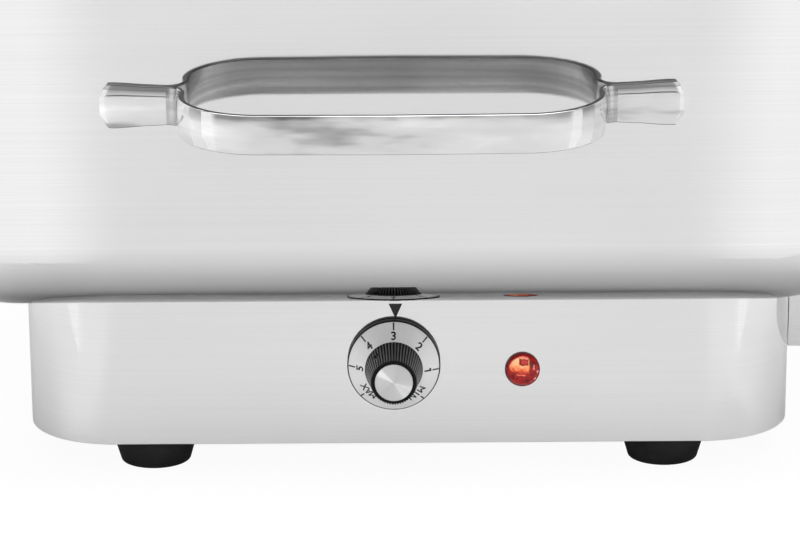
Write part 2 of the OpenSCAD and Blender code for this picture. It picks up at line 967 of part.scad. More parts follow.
module gland_nut() {
  color("black")
    on_rear(base_x, gland_z)
      translate([0, 0, -sheet - nut_h])
        linear_extrude(nut_h)
          difference() {
            hexagon(gland_af);
            circle(gland_r + snug);
          }
}

// Hinge bracket: a plate that rises past the pan to the hinge pin, with a flange bolted to
// the base's side and an ear for the stop pin
module hinge_bracket() {
  inner = side_x + spacer_t;
  outer = pin_x + arm_half;
  corner = 6;
  slot_r = 3.5;
  slot_end = 30;
  flange_h = bracket_high - bracket_low;
  difference() {
    union() {
      translate([0, hinge_y + plate_t, 0])
        rotate([90, 0, 0])
          linear_extrude(plate_t)
            difference() {
              union() {
                translate([(inner + outer) / 2, bracket_low + flange_h / 2])
                  plate(outer - inner, flange_h, corner);
                translate([inner, bracket_low]) square([2 * plate_t, flange_h]);
                translate([outer - 2 * arm_half, bracket_low + corner])
                  square([2 * arm_half, pin_z - bracket_low - corner]);
                translate([pin_x, pin_z]) {
                  circle(eye_r);
                  rotate(stop_angle) {
                    translate([0, -ear_r]) square([stop_far, 2 * ear_r]);
                    translate([stop_far, 0]) circle(ear_r);
                  }
                }
              }
              translate([pin_x, pin_z]) {
                circle(pin_d / 2 + snug);
                rotate(stop_angle) translate([stop_far, 0]) circle(stop_r + snug);
              }
              translate([pin_x, (base_top + pin_z) / 2])
                plate(2 * slot_r, pan_h - 2 * slot_end, slot_r - hair);
            }
      translate([inner, hinge_y + flange_w / 2, bracket_low + flange_h / 2])
        rotate([90, 0, 90])
          linear_extrude(plate_t) {
            plate(flange_w, flange_h, corner);
            translate([-flange_w / 2, -flange_h / 2]) square([flange_w / 2, flange_h]);
          }
    }
    for (z = bolt_z)
      translate([inner, hinge_y + bolt_in, z])
        rotate([0, 90, 0])
          cylinder(h = 4 * plate_t, r = screw_r + screw_gap, center = true);
  }
}

module hinge_bracket_front() {
  color("silver") hinge_bracket();
}

module hinge_bracket_rear() {
  color("silver") mirror([0, 1, 0]) hinge_bracket();
}

// Places of the bracket bolts on the base's side: z outwards
module bracket_bolt_places() {
  both_hinges()
    for (z = bolt_z)
      translate([side_x, hinge_y + bolt_in, z])
        rotate([0, 90, 0]) children();
}

module bracket_bolts() {
  color("dimgray")
    bracket_bolt_places() {
      translate([0, 0, spacer_t + plate_t]) linear_extrude(head_h) hexagon(nut_af);
      translate([0, 0, -sheet - nut_h - past_nut])
        cylinder(h = sheet + nut_h + past_nut + spacer_t + plate_t + head_h / 2, r = screw_r);
    }
}

// Spacers between the base's side and the brackets
module bracket_spacers() {
  color("dimgray")
    bracket_bolt_places()
      linear_extrude(spacer_t)
        difference() {
          circle(2 * screw_r);
          circle(screw_r + screw_gap);
        }
}

module bracket_nuts() {
  color("dimgray")
    bracket_bolt_places()
      translate([0, 0, -sheet - nut_h]) nut();
}

// Place of the front hinge's axis: z along the pin, away from the control end
module pin_place(y) {
  translate([pin_x, y, pin_z]) rotate([-90, 0, 0]) children();
}

// Hinge pins pressed into the brackets, with a groove for the clip
module hinge_pins() {
  head_t = 2.5;
  tail = 1.5;
  color("silver")
    both_hinges() {
      pin_place(hinge_y - head_t) cylinder(h = head_t, r = pin_d);
      pin_place(hinge_y - head_t / 2)
        cylinder(h = clip_y - hinge_y + head_t / 2, r = pin_d / 2);
      pin_place(clip_y - hair) cylinder(h = clip_t + 2 * hair, r = pin_d / 2 - clip_groove);
      pin_place(clip_y + clip_t) cylinder(h = tail, r = pin_d / 2);
    }
}

// Thin washers between bracket and arm
module hinge_washers() {
  color("goldenrod")
    both_hinges()
      pin_place(hinge_y + plate_t + hair)
        linear_extrude(washer_t)
          difference() {
            circle(pin_d);
            circle(pin_d / 2 + snug);
          }
}

// Open retaining clips in the pins' grooves
module pin_clips() {
  neck_r = pin_d / 2 - clip_groove;
  color("dimgray")
    both_hinges()
      pin_place(clip_y)
        linear_extrude(clip_t)
          difference() {
            circle(pin_d);
            circle(neck_r + snug);
            translate([0, -neck_r]) square([far, 2 * neck_r]);
          }
}

// Stop pins that end the lid's swing
module stop_pins() {
  color("silver")
    both_hinges()
      pin_place(hinge_y)
        rotate([0, 0, -stop_angle])
          translate([stop_far, 0, 0]) cylinder(h = arm_y + plate_t - hinge_y, r = stop_r);
}

// Ribbed knob grip with the hollow skirt that carries the dial
module knob_grip() {
  rib = 0.55;
  steps = 2 * ribs;
  color("black")
    on_front(mid_x, dial_z)
      difference() {
        union() {
          rotate_extrude()
            polygon([[0, skirt_back], [dial_d / 2, skirt_back], [dial_d / 2, skirt_face],
              cone_line[0], cone_line[1], [0, cone_top]]);
          translate([0, 0, cone_top - sink])
            linear_extrude(knob_face - cone_top + sink, scale = knob_end_d / knob_d)
              polygon([for (i = [0:steps - 1])
                (knob_d / 2 - (i % 2) * rib) * [cos(360 * i / steps), sin(360 * i / steps)]]);
        }
        cylinder(h = skirt_face - skirt_wall, r = dial_d / 2 - skirt_wall);
        cylinder(h = knob_face - grip_solid, r = shaft_r + snug);
        translate([0, 0, knob_face - cap_sink]) cylinder(h = cap_sink + sink, r = cap_d / 2 + snug);
        grub_place() cylinder(h = knob_d, r = small_screw_r + snug);
      }
}

// Place of the set screw in the grip: z outwards from the shaft
module grub_place() {
  translate([0, 0, grub_up]) rotate([0, 0, grub_angle]) rotate([0, 90, 0]) children();
}

// Aluminium dial, a cone of thin sheet round the foot of the grip
module dial_plate() {
  lift = [0, hair];
  top = [0, hair + dial_t];
  color("lightgray")
    on_front(mid_x, dial_z)
      rotate_extrude()
        polygon([cone_line[0] + lift, cone_line[0] + top, cone_line[1] + top, cone_line[1] + lift]);
}

// Turned aluminium cap in the grip's end
module knob_cap() {
  color("silver")
    on_front(mid_x, dial_z)
      translate([0, 0, knob_face - cap_sink]) cylinder(h = cap_t, r = cap_d / 2);
}

module grub_screw() {
  length = 5;
  color("dimgray")
    on_front(mid_x, dial_z)
      grub_place()
        translate([0, 0, shaft_r + hair]) cylinder(h = length, r = small_screw_r);
}

// Thermostat shaft, turned by the knob
module thermostat_shaft() {
  inside = 26;
  end_gap = 1;
  color("silver")
    on_front(mid_x, dial_z)
      translate([0, 0, -inside])
        cylinder(h = inside + knob_face - grip_solid - end_gap, r = shaft_r);
}

// Lid: drawn steel with a leaning wall, a shoulder, a raised crown and a rolled hem
module lid_shell() {
  riser_foot = lid_shoulder + lid_cove;
  riser_top = lid_h - lid_top_turn;
  color("lightgray")
    difference() {
      translate([mid_x, 0, lid_z]) {
        swept_loop(lid_w, lid_l, lid_r) {
          translate([hem_r - sheet, hem_r]) circle(hem_r);
          translate([0, lid_shoulder])
            mirror([0, 1]) drawn_wall(lid_shoulder, lid_shoulder - hem_r, lid_turn, lid_lean);
          translate([-cove_in, lid_shoulder - sheet]) square([lid_ledge, sheet]);
          translate([-cove_in, riser_foot]) quarter_ring(lid_cove, lid_cove + sheet, 180);
          translate([-riser_in - sheet, riser_foot]) square([sheet, riser_top - riser_foot]);
          translate([-crown_in, riser_top]) quarter_ring(lid_top_turn - sheet, lid_top_turn, 0);
        }
        translate([0, 0, lid_h - sheet])
          linear_extrude(sheet)
            plate(lid_w - 2 * crown_in, lid_l - 2 * crown_in, lid_r - crown_in);
      }
      rivet_places()
        cylinder(h = 6 * sheet, r = rivet_r + snug, center = true);
    }
}

// Strap handle on the lid's serving side
module lid_handle() {
  color("silver")
    translate([mid_x - lid_w / 2, 0, lid_z])
      rotate([0, lid_lean, 0])
        translate([0, 0, lid_grip_up])
          rotate([0, 0, 90]) strap_handle(lid_handle_l, lid_grip_l);
}

// Hinge arm: an eye on the pin, a bar and a leaf that lies on the lid's back wall
module hinge_arm() {
  leaf_r = 5;
  leaf_h = leaf_high - leaf_low;
  keep_off = 0.5;
  difference() {
    union() {
      translate([0, arm_y + plate_t, 0])
        rotate([90, 0, 0])
          linear_extrude(plate_t)
            difference() {
              translate([pin_x, pin_z]) {
                circle(arm_eye_r);
                rotate(arm_angle)
                  translate([0, -arm_bar_half]) square([4 * arm_bar_half, 2 * arm_bar_half]);
              }
              translate([pin_x, pin_z]) circle(pin_d / 2 + run_gap);
              translate([mid_x + lid_w / 2, lid_z])
                rotate(lid_lean) translate([-far, -far / 2]) square([far, far]);
              translate([mid_x, lid_z - far])
                square([lid_w / 2 + hem_out + keep_off, far + 2 * hem_r + keep_off]);
            }
      on_lid_back()
        translate([0, arm_y + leaf_w / 2, leaf_low + leaf_h / 2])
          rotate([90, 0, 90])
            linear_extrude(plate_t) {
              plate(leaf_w, leaf_h, leaf_r);
              translate([-leaf_w / 2, -leaf_h / 2]) square([leaf_w / 2, leaf_h]);
            }
    }
    front_rivet_places()
      cylinder(h = 6 * plate_t, r = rivet_r + snug, center = true);
  }
}

module hinge_arm_front() {
  color("silver") hinge_arm();
}

module hinge_arm_rear() {
  color("silver") mirror([0, 1, 0]) hinge_arm();
}

// Places of the front arm's rivets on the lid's back wall: z outwards
module front_rivet_places() {
  for (y = rivet_y)
    on_lid_back()
      translate([0, arm_y + y, (leaf_low + leaf_high) / 2])
        rotate([0, 90, 0]) children();
}

module rivet_places() {
  both_hinges() front_rivet_places() children();
}

// Rivets with a head on both sides of the leaf and the lid's wall
module hinge_rivets() {
  head = 1.8;
  head_r = 3.7;
  color("silver")
    rivet_places() {
      translate([0, 0, -sheet - head]) cylinder(h = head, r = head_r);
      translate([0, 0, -sheet - head / 2]) cylinder(h = sheet + plate_t + head, r = rivet_r);
      translate([0, 0, plate_t]) cylinder(h = head, r = head_r);
    }
}

base_shell();
base_floor();
foot_front_left();
foot_front_right();
foot_rear_left();
foot_rear_right();
foot_screws();
foot_nuts();
floor_screws();
water_pan();
pan_nuts();
end_handle_front();
end_handle_rear();
pan_frame();
food_pan();
heating_element();
element_clamps();
clamp_nuts();
heat_shield();
thermostat_body();
thermostat_screws();
sensor_bulb();
capillary_tube();
bulb_clip();
overheat_cutout();
terminal_block();
earth_stud();
pilot_lens();
pilot_body();
pilot_nut();
cord_gland();
gland_nut();
hinge_bracket_front();
hinge_bracket_rear();
bracket_bolts();
bracket_spacers();
bracket_nuts();
hinge_pins();
hinge_washers();
pin_clips();
stop_pins();
knob_grip();
dial_plate();
knob_cap();
grub_screw();
thermostat_shaft();
lid_shell();
lid_handle();
hinge_arm_front();
hinge_arm_rear();
hinge_rivets();
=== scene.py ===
import math

import bmesh
import bpy
from mathutils import Matrix, Vector


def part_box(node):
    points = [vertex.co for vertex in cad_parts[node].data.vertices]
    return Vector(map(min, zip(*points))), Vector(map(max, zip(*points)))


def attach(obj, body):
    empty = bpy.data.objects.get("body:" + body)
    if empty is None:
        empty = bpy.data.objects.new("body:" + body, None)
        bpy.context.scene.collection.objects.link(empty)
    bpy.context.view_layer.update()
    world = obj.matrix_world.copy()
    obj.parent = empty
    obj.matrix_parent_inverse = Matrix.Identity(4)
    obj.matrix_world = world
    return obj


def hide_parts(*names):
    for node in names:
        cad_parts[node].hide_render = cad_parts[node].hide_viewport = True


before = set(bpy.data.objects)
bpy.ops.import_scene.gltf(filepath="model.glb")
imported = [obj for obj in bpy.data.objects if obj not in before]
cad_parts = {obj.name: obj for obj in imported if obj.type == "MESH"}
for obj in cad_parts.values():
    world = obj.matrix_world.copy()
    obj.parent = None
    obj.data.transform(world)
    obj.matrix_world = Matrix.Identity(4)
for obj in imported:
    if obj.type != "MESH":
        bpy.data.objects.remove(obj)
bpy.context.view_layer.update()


# Base housing
# One strip of polished stainless sheet, bent round four corners and folded inwards at its top
# and bottom edges. It carries the dial, the lamp, the cord gland and the hinge brackets.

mm = 0.001
same_place = 0.001 * mm
quarter = math.pi / 2


class Tap:
    """One output in a node tree. Arithmetic on taps adds Math nodes."""

    def __init__(self, tree, socket):
        self.tree = tree
        self.socket = socket

    def node(self, kind, settings, inputs, output=0):
        made = self.tree.nodes.new("ShaderNode" + kind)
        for name, value in settings.items():
            if name == "stops":
                ramp = made.color_ramp.elements
                while len(ramp) < len(value):
                    ramp.new(0.5)
                for stop, (position, colour) in zip(ramp, value):
                    stop.position = position
                    stop.color = colour
            else:
                setattr(made, name, value)
        for name, value in inputs.items():
            if isinstance(value, Tap):
                self.tree.links.new(value.socket, made.inputs[name])
            else:
                made.inputs[name].default_value = value
        return Tap(self.tree, made.outputs[output])

    def into(self, name, shader="Principled BSDF"):
        self.tree.links.new(self.socket, self.tree.nodes[shader].inputs[name])

    def math(self, operation, first, second):
        return self.node("Math", {"operation": operation}, {0: first, 1: second})

    def __add__(self, other):
        return self.math("ADD", self, other)

    def __sub__(self, other):
        return self.math("SUBTRACT", self, other)

    def __rsub__(self, other):
        return self.math("SUBTRACT", other, self)

    def __mul__(self, other):
        return self.math("MULTIPLY", self, other)

    __radd__ = __add__
    __rmul__ = __mul__


def new_finish(name, values):
    """Starts a material and gives it back with a tap on its Object coordinates."""
    material = bpy.data.materials.new(name)
    material.use_nodes = True
    shader = material.node_tree.nodes["Principled BSDF"]
    for socket, value in values.items():
        shader.inputs[socket].default_value = value
    place = material.node_tree.nodes.new("ShaderNodeTexCoord")
    return material, Tap(material.node_tree, place.outputs["Object"])


def noise(place, scale, detail=3.0, stretch=(1, 1, 1)):
    """Soft random values. A larger stretch makes them finer along that axis."""
    stretched = place.node("Mapping", {}, {"Vector": place, "Scale": stretch})
    return place.node("TexNoise", {}, {"Vector": stretched, "Scale": scale, "Detail": detail}, "Fac")


def tones(tap, *stops):
    """Turns a value into the colours of its stops."""
    return tap.node("ValToRGB", {"stops": stops}, {"Fac": tap}, "Color")


def greys(tap, *stops):
    return tones(tap, *[(at, (grey, grey, grey, 1)) for at, grey in stops])


def dents(height, strength, deep):
    """Presses a pattern into the surface."""
    bump = height.node("Bump", {}, {"Strength": strength, "Distance": deep, "Height": height})
    bump.into("Normal")


def brushed_steel(name, light, dark, gloss, spread, grain):
    """Stainless steel with a grain of fine level scratches."""
    steel, place = new_finish(name, {"Metallic": 1.0})
    scratches = noise(place, 1.0, 5.0, (5, 5, grain))
    clouds = noise(place, 9.0)
    greys(scratches * 0.6 + clouds * 0.4, (0.35, dark), (0.65, light)).into("Base Color")
    (scratches * spread + clouds * (0.5 * spread) + gloss).into("Roughness")
    dents(scratches, 0.05, 0.05 * mm)
    return steel


polished = brushed_steel("polished_steel", light=0.765, dark=0.725, gloss=0.04, spread=0.05, grain=1400)
satin = brushed_steel("satin_steel", light=0.68, dark=0.58, gloss=0.20, spread=0.16, grain=1900)


def draw(bm, start):
    """Starts a profile, drawn outwards and upwards."""
    return bm.verts.new((start[0], 0, start[1]))


def line(bm, last, to):
    """Draws a profile on from its last point in a straight line."""
    made = bmesh.ops.extrude_vert_indiv(bm, verts=[last])["verts"][0]
    made.co = (to[0], 0, to[1])
    return made


def outline(bm, points, rounds):
    """Draws a closed profile through its corner points and rounds each by its own radius."""
    corners = [draw(bm, point) for point in points]
    for first, second in zip(corners, corners[1:] + corners[:1]):
        bm.edges.new((first, second))
    for corner, radius in zip(corners, rounds):
        if radius:
            sides = [edge.other_vert(corner).co - corner.co for edge in corner.link_edges]
            reach = radius / math.tan(sides[0].angle(sides[1]) / 2)
            bmesh.ops.bevel(
                bm, geom=[corner], affect="VERTICES", offset=reach, offset_type="OFFSET", segments=8,
                profile=0.5, material=-1, clamp_overlap=True)


def only(kind, geom):
    """Picks the verts, the edges or the faces out of mixed geometry."""
    return [item for item in geom if isinstance(item, kind)]


def run(bm, section, step):
    """Extrudes the edges of a section by one step and gives back the new end."""
    made = bmesh.ops.extrude_edge_only(bm, edges=section)["geom"]
    ends = set(only(bmesh.types.BMVert, made))
    bmesh.ops.translate(bm, verts=list(ends), vec=step)
    return [edge for edge in only(bmesh.types.BMEdge, made) if ends.issuperset(edge.verts)]


def bend(bm, section, centre, angle, steps):
    """Turns the edges of a section about an upright axis and gives back the new end."""
    ends = list({vert for edge in section for vert in edge.verts})
    made = bmesh.ops.spin(
        bm, geom=ends + section, cent=centre, axis=(0, 0, 1), angle=angle, steps=steps, use_merge=False)
    return only(bmesh.types.BMEdge, made["geom_last"])


def sweep(bm, centre, width, length, corner):
    """Carries a drawn profile round a rectangle with round corners and closes the loop."""
    corner_steps = 40
    across, along = width / 2 - corner, length / 2 - corner
    bmesh.ops.translate(bm, verts=bm.verts, vec=centre + Vector((width / 2, -along, 0)))
    section = bm.edges[:]
    for side in range(4):
        turn = Matrix.Rotation(side * quarter, 3, "Z")
        straight = along if side % 2 == 0 else across
        middle = Vector((across, along, 0)) if side % 2 == 0 else Vector((along, across, 0))
        section = run(bm, section, turn @ Vector((0, 2 * straight, 0)))
        section = bend(bm, section, centre + turn @ middle, quarter, corner_steps)
    bmesh.ops.remove_doubles(bm, verts=bm.verts, dist=10 * same_place)


def placed(name, bm, *materials):
    """Puts a finished mesh into the scene as an object."""
    mesh = bpy.data.meshes.new(name)
    bm.to_mesh(mesh)
    bm.free()
    for material in materials:
        mesh.materials.append(material)
    made = bpy.data.objects.new(name, mesh)
    bpy.context.scene.collection.objects.link(made)
    return made


def piece(name, bm, materials, body, slot, *replaced):
    """Makes a smooth piece of a finished mesh, in place of the CAD nodes it stands for."""
    crease = math.radians(32)
    bmesh.ops.recalc_face_normals(bm, faces=bm.faces)
    for edge in bm.edges:
        edge.smooth = edge.calc_face_angle(0) < crease
    for face in bm.faces:
        face.smooth = True
    made = placed(name, bm, *materials)
    made.modifiers.new("flat_faces", "WEIGHTED_NORMAL").keep_sharp = True
    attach(made, body)
    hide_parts(*replaced)
    return made


sheet = 1.2 * mm
base_low, base_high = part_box("base_shell")
base_size = base_high - base_low
base_corner = 44 * mm
base_lip = 14 * mm
cut_round, fold_round = 0.4 * mm, 2.2 * mm
base_middle = Vector(((base_low.x + base_high.x) / 2, 0, base_low.z))
base_tall = base_size.z
bm = bmesh.new()
outline(
    bm,
    [(0, 0), (0, base_tall), (-base_lip, base_tall), (-base_lip, base_tall - sheet),
     (-sheet, base_tall - sheet), (-sheet, 2 * sheet), (-base_lip, 2 * sheet), (-base_lip, sheet),
     (-sheet, sheet), (-sheet, 0)],
    [cut_round, fold_round, 0, 0, fold_round - sheet, 0, 0, 0, 0, cut_round])
sweep(bm, base_middle, base_size.x, base_size.y, base_corner)
piece("base_housing", bm, [polished], "chassis", "polished_steel", "base_shell")


# Base floor and its fasteners
# A flat plate of satin steel with cooling slots, held to the housing's lower lip by screws of
# bright zinc-plated steel. The same plating is on every other screw, bolt and nut.

def plated_steel():
    plated, place = new_finish("zinc_plating", {"Metallic": 1.0})
    haze = noise(place, 260.0, 5.0)
    tones(haze, (0.3, (0.50, 0.52, 0.56, 1)), (0.7, (0.66, 0.66, 0.64, 1))).into("Base Color")
    (haze * 0.2 + 0.2).into("Roughness")
    return plated


zinc = plated_steel()


def dress(material, *names):
    """Gives a material to CAD nodes that show as they are."""
    for name in names:
        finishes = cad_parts[name].data.materials
        finishes.clear()
        finishes.append(material)


dress(satin, "base_floor")
dress(zinc, "floor_screws", "foot_screws", "foot_nuts", "pan_nuts")


# Feet
# Four black rubber feet, moulded with a taper and a round lower edge. Each has a pocket from
# below for the screw that holds it.

def black_rubber():
    rubber, place = new_finish("rubber", {"Specular IOR Level": 0.35})
    specks = noise(place, 1500.0, 2.0)
    dust = noise(place, 70.0, 4.0)
    greys(specks * 0.5 + dust * 0.5, (0.45, 0.006), (0.68, 0.014), (0.8, 0.07)).into("Base Color")
    (0.75 - dust * 0.25).into("Roughness")
    dents(specks, 0.4, 0.15 * mm)
    return rubber


def turned(bm, steps):
    """Turns a drawn profile about its upright axis into a round piece."""
    bmesh.ops.spin(
        bm, geom=bm.verts[:] + bm.edges[:], cent=(0, 0, 0), axis=(0, 0, 1), angle=2 * math.pi, steps=steps,
        use_merge=True)
    bmesh.ops.remove_doubles(bm, verts=bm.verts, dist=same_place)
    axis_edges = [edge for edge in bm.edges if all(vert.co.xy.length < same_place for vert in edge.verts)]
    bmesh.ops.delete(bm, geom=axis_edges, context="EDGES")


rubber = black_rubber()
pocket_r, pocket_deep = 6.5 * mm, 9 * mm
taper, taper_tall = 2.3 * mm, 8 * mm
for foot in ("foot_front_left", "foot_front_right", "foot_rear_left", "foot_rear_right"):
    foot_low, foot_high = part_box(foot)
    top_r = (foot_high.x - foot_low.x) / 2
    end_r = top_r - taper
    foot_tall = foot_high.z - foot_low.z
    bm = bmesh.new()
    outline(
        bm,
        [(0, pocket_deep), (pocket_r, pocket_deep), (pocket_r, 0), (end_r, 0), (top_r, taper_tall),
         (top_r, foot_tall), (0, foot_tall)],
        [0, 0, 0.5 * mm, 1.5 * mm, 3 * mm, 0.4 * mm, 0])
    turned(bm, 96)
    bmesh.ops.translate(
        bm, verts=bm.verts,
        vec=((foot_low.x + foot_high.x) / 2, (foot_low.y + foot_high.y) / 2, foot_low.z))
    piece(foot + "_rubber", bm, [rubber], "chassis", "rubber", foot)


# Water pan
# Drawn from one sheet of stainless steel: a flat floor, a wide turn, a wall that leans outwards
# and a rim that is rolled outwards into a bead. It is polished outside, with painted shade on the
# underside of its turn.

pan_low, pan_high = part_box("water_pan")
bead = 4 * mm
bead_out = 2 * bead - sheet
pan_lean = math.radians(4)
pan_turn = 33 * mm
pan_corner = 58 * mm
pan_middle = Vector(((pan_low.x + pan_high.x) / 2, 0, base_high.z))
pan_tall = pan_high.z - base_high.z
mouth_w = pan_high.x - pan_low.x - 2 * bead_out
mouth_l = pan_high.y - pan_low.y - 2 * bead_out


def curve(bm, last, centre, angle, steps):
    """Draws a profile on from its last point in an arc, clockwise for a positive angle."""
    made = bmesh.ops.spin(
        bm, geom=[last], cent=(centre[0], 0, centre[1]), axis=(0, 1, 0), angle=angle, steps=steps)
    return only(bmesh.types.BMVert, made["geom_last"])[0]


def drawn_sheet(bm, tall, turn, lean, bead, steps):
    """Draws the section of a drawn wall, outside and inside, with a bead rolled at its top.

    The wall's outside runs into the bead where the bead is at the angle meet."""
    inward = (tall - turn * (1 - math.sin(lean))) * math.tan(lean) + turn * math.cos(lean)
    hub = (-inward, turn)
    bead_hub = (bead - sheet, tall - bead)
    meet = math.radians(217)
    under = (bead_hub[0] + bead * math.cos(meet), bead_hub[1] + bead * math.sin(meet))
    last = draw(bm, (-inward, 0))
    last = curve(bm, last, hub, lean - quarter, steps)
    last = line(bm, last, under)
    last = curve(bm, last, bead_hub, meet - 3 * math.pi, steps)
    inner = turn - sheet
    last = line(bm, last, (hub[0] + inner * math.cos(lean), hub[1] - inner * math.sin(lean)))
    curve(bm, last, hub, quarter - lean, steps)


def mix(share, first, second):
    """Goes from the first colour to the second."""
    return share.node("Mix", {"data_type": "RGBA"}, {"Factor": share, 6: first, 7: second}, 2)


def coordinate(place, axis):
    return place.node("SeparateXYZ", {}, {"Vector": place}, axis)


def fade(value, low, high, way="LINEAR"):
    """Goes from 0 to 1 as a value goes from low to high."""
    return value.node(
        "MapRange", {"interpolation_type": way}, {"Value": value, "From Min": low, "From Max": high})


def drawn_steel():
    """Polished steel with painted shade below the turn: its colour darkens towards the bottom there."""
    steel = brushed_steel("drawn_steel", light=0.775, dark=0.735, gloss=0.02, spread=0.035, grain=1400)
    tree = steel.node_tree
    tone = Tap(tree, tree.nodes["Principled BSDF"].inputs["Base Color"].links[0].from_socket)
    place = Tap(tree, tree.nodes["Texture Coordinate"].outputs["Object"])
    # painted shade: below the turn the colour dims to a dark grey towards the bottom, for the shaded floor
    # it mirrors
    up = fade(coordinate(place, "Z"), base_high.z, base_high.z + pan_turn)
    painted_shade = fade(up, 1.0, 0.4)
    mix(painted_shade, tone, greys(up, (0.03, 0.25), (0.15, 0.31), (0.4, 0.43))).into("Base Color")
    return steel


bm = bmesh.new()
drawn_sheet(bm, pan_tall, pan_turn, pan_lean, bead, 48)
sweep(bm, pan_middle, mouth_w, mouth_l, pan_corner)
bmesh.ops.holes_fill(bm, edges=bm.edges[:], sides=0)
piece("water_pan_steel", bm, [drawn_steel()], "chassis", "polished_steel", "water_pan")


# Carrying handles
# Steel straps with a crowned face, bent out from two flat tabs that widen to their ends and are
# welded to the pan's end walls. They are polished to a mirror in front, with painted reflections
# streaked into its colour, and plain behind. Their edges are near-black steel as painted shade, and
# the bends, ground by hand, and the upper shoulders are darker, partly ground and partly painted shade.

def mirror_steel():
    steel, place = new_finish("mirror_steel", {"Metallic": 1.0})
    painted_reflections = noise(place, 16.0, 3.0, (1, 1, 5))
    # painted reflections: light and dark streaks in the colour stand in for what the mirror face reflects
    greys(painted_reflections, (0.36, 0.40), (0.46, 0.69), (0.6, 0.77), (0.7, 0.92)).into("Base Color")
    scratches = noise(place, 1.0, 4.0, (40, 40, 900))
    (scratches * 0.05 + 0.02).into("Roughness")
    ripples = noise(place, 55.0, 2.0, (1, 1, 1.6))
    dents(ripples, 0.25, 0.4 * mm)
    return steel


strap_finishes = [
    mirror_steel(),
    brushed_steel("mill_steel", light=0.60, dark=0.22, gloss=0.18, spread=0.10, grain=320),
    # painted shade: near-black steel for the edges, for the dark that they mirror
    brushed_steel("shade_painted_steel", light=0.12, dark=0.07, gloss=0.22, spread=0.10, grain=700),
    # darker steel for the bends and upper shoulders: partly their ground finish, partly painted shade
    brushed_steel("grinding_and_shade_steel", light=0.60, dark=0.30, gloss=0.14, spread=0.10, grain=420)]
mill, shade_painted, grinding_and_shade = 1, 2, 3
strap_w, strap_t = 17.5 * mm, 3.2 * mm
tab_turn, grip_turn = 7 * mm, 34 * mm
grip_reach = 49 * mm
bow = 2.5 * mm


def crown(section, leg, half_t, half_w):
    """Swells the outer face of a strap, where its shoulders end, to a low crown."""
    edge, fall = 0.93, 0.45
    front = leg - 0.3 * half_t
    for vert in {vert for side in section for vert in side.verts}:
        side = abs(vert.co.z) / half_w
        if abs(vert.co.x) > front and side < 1:
            past = max(side - edge, 0) / (1 - edge)
            swell = half_t * (1 - fall * min(side, edge) ** 2) * math.sqrt(1 - past ** 2)
            vert.co.x = math.copysign(leg + swell, vert.co.x)


def finish_strap(bm, depth, leg, half_t, half_w, ground_w):
    """Finishes a strap's back, edges and bends; edges, bends and shoulders carry painted shade."""
    bend_from, bend_to = 0.3, 1
    low_edge, high_edge = -0.95 * half_w, 0.9 * half_w
    back_tall, back_t = 0.7 * strap_w, 0.05 * half_t
    for face in bm.faces:
        heights = [vert.co.z for vert in face.verts]
        past_bend = (abs(face.calc_center_median().x) - leg) / tab_turn
        behind = max(vert[depth] for vert in face.verts) < back_t
        # the edges get the near-black painted shade; bends and upper shoulders the darker, partly painted
        # steel
        if len(heights) == 4 and max(heights) - min(heights) > back_tall:
            face.material_index = mill
        elif max(heights) < low_edge:
            face.material_index = shade_painted
        elif min(heights) > high_edge and (behind or past_bend > bend_from):
            face.material_index = shade_painted
        elif past_bend > bend_from and (past_bend < bend_to or min(heights) > 0.99 * ground_w):
            face.material_index = grinding_and_shade


def shape_tabs(bm, leg, tab):
    """Widens the tabs of a strap to round ends that thin out."""
    widen, tab_round = 0.16, 14 * mm
    end_from, end_thin = 0.9, 0.35
    for vert in bm.verts:
        out = (abs(vert.co.x) - leg - tab_turn) / tab
        if out > 0:
            share = out * out * (3 - 2 * out)
            vert.co.z *= 1 + widen * share
            sag = tab_round - math.sqrt(max(tab_round ** 2 - vert.co.z ** 2, 0))
            vert.co.x -= math.copysign(sag * share, vert.co.x)
            close = max(0, (out - end_from) / (1 - end_from))
            vert.co.y *= 1 - end_thin * close ** 2


def strap_handle(bm, total, grip):
    """A strap handle on the plane y = 0 that reaches out to +y, with its length along x."""
    half_w, half_t = strap_w / 2, strap_t / 2
    edge_t, flat_w = 0.1 * half_t, 0.55 * half_w
    ground_t, ground_w = 0.6 * half_t, 0.75 * half_w
    leg = grip / 2 - half_t
    bar_y = grip_reach - half_t
    shoulder = bar_y - grip_turn
    root = half_t + tab_turn
    tab = total / 2 - leg - tab_turn
    tab_steps = (0.04, 0.06, 0.2, 0.3, 0.4)
    outline(
        bm,
        [(-half_t, -half_w), (-half_t, half_w), (edge_t, half_w), (ground_t, ground_w), (half_t, flat_w),
         (half_t, -flat_w), (edge_t, -half_w)],
        [1.0 * mm, 1.0 * mm, 0.9 * mm, 0, 9 * mm, 9 * mm, 0.9 * mm])
    depth = bm.verts.layers.float.new("depth")
    for vert in bm.verts:
        vert[depth] = vert.co.x
    bmesh.ops.rotate(bm, verts=bm.verts, matrix=Matrix.Rotation(quarter, 3, "Z"))
    bmesh.ops.translate(bm, verts=bm.verts, vec=(-total / 2, half_t, 0))
    section = bm.edges[:]
    bmesh.ops.contextual_create(bm, geom=section)
    for step in tab_steps:
        section = run(bm, section, (step * tab, 0, 0))
    section = bend(bm, section, (-leg - tab_turn, root, 0), quarter, 16)
    section = run(bm, section, (0, shoulder - root, 0))
    crown(section, leg, half_t, half_w)
    section = bend(bm, section, (grip_turn - leg, shoulder, 0), -quarter, 32)
    run(bm, section, (leg - grip_turn, 0, 0))
    bmesh.ops.mirror(bm, geom=bm.verts[:] + bm.edges[:] + bm.faces[:], axis="X", merge_dist=same_place)
    finish_strap(bm, depth, leg, half_t, half_w, ground_w)
    bm.verts.layers.float.remove(depth)
    for vert in bm.verts:
        if vert.co.y > shoulder:
            lift = (vert.co.y - shoulder) / grip_turn
            vert.co.y -= bow * lift * (vert.co.x / leg) ** 2
    shape_tabs(bm, leg, tab)


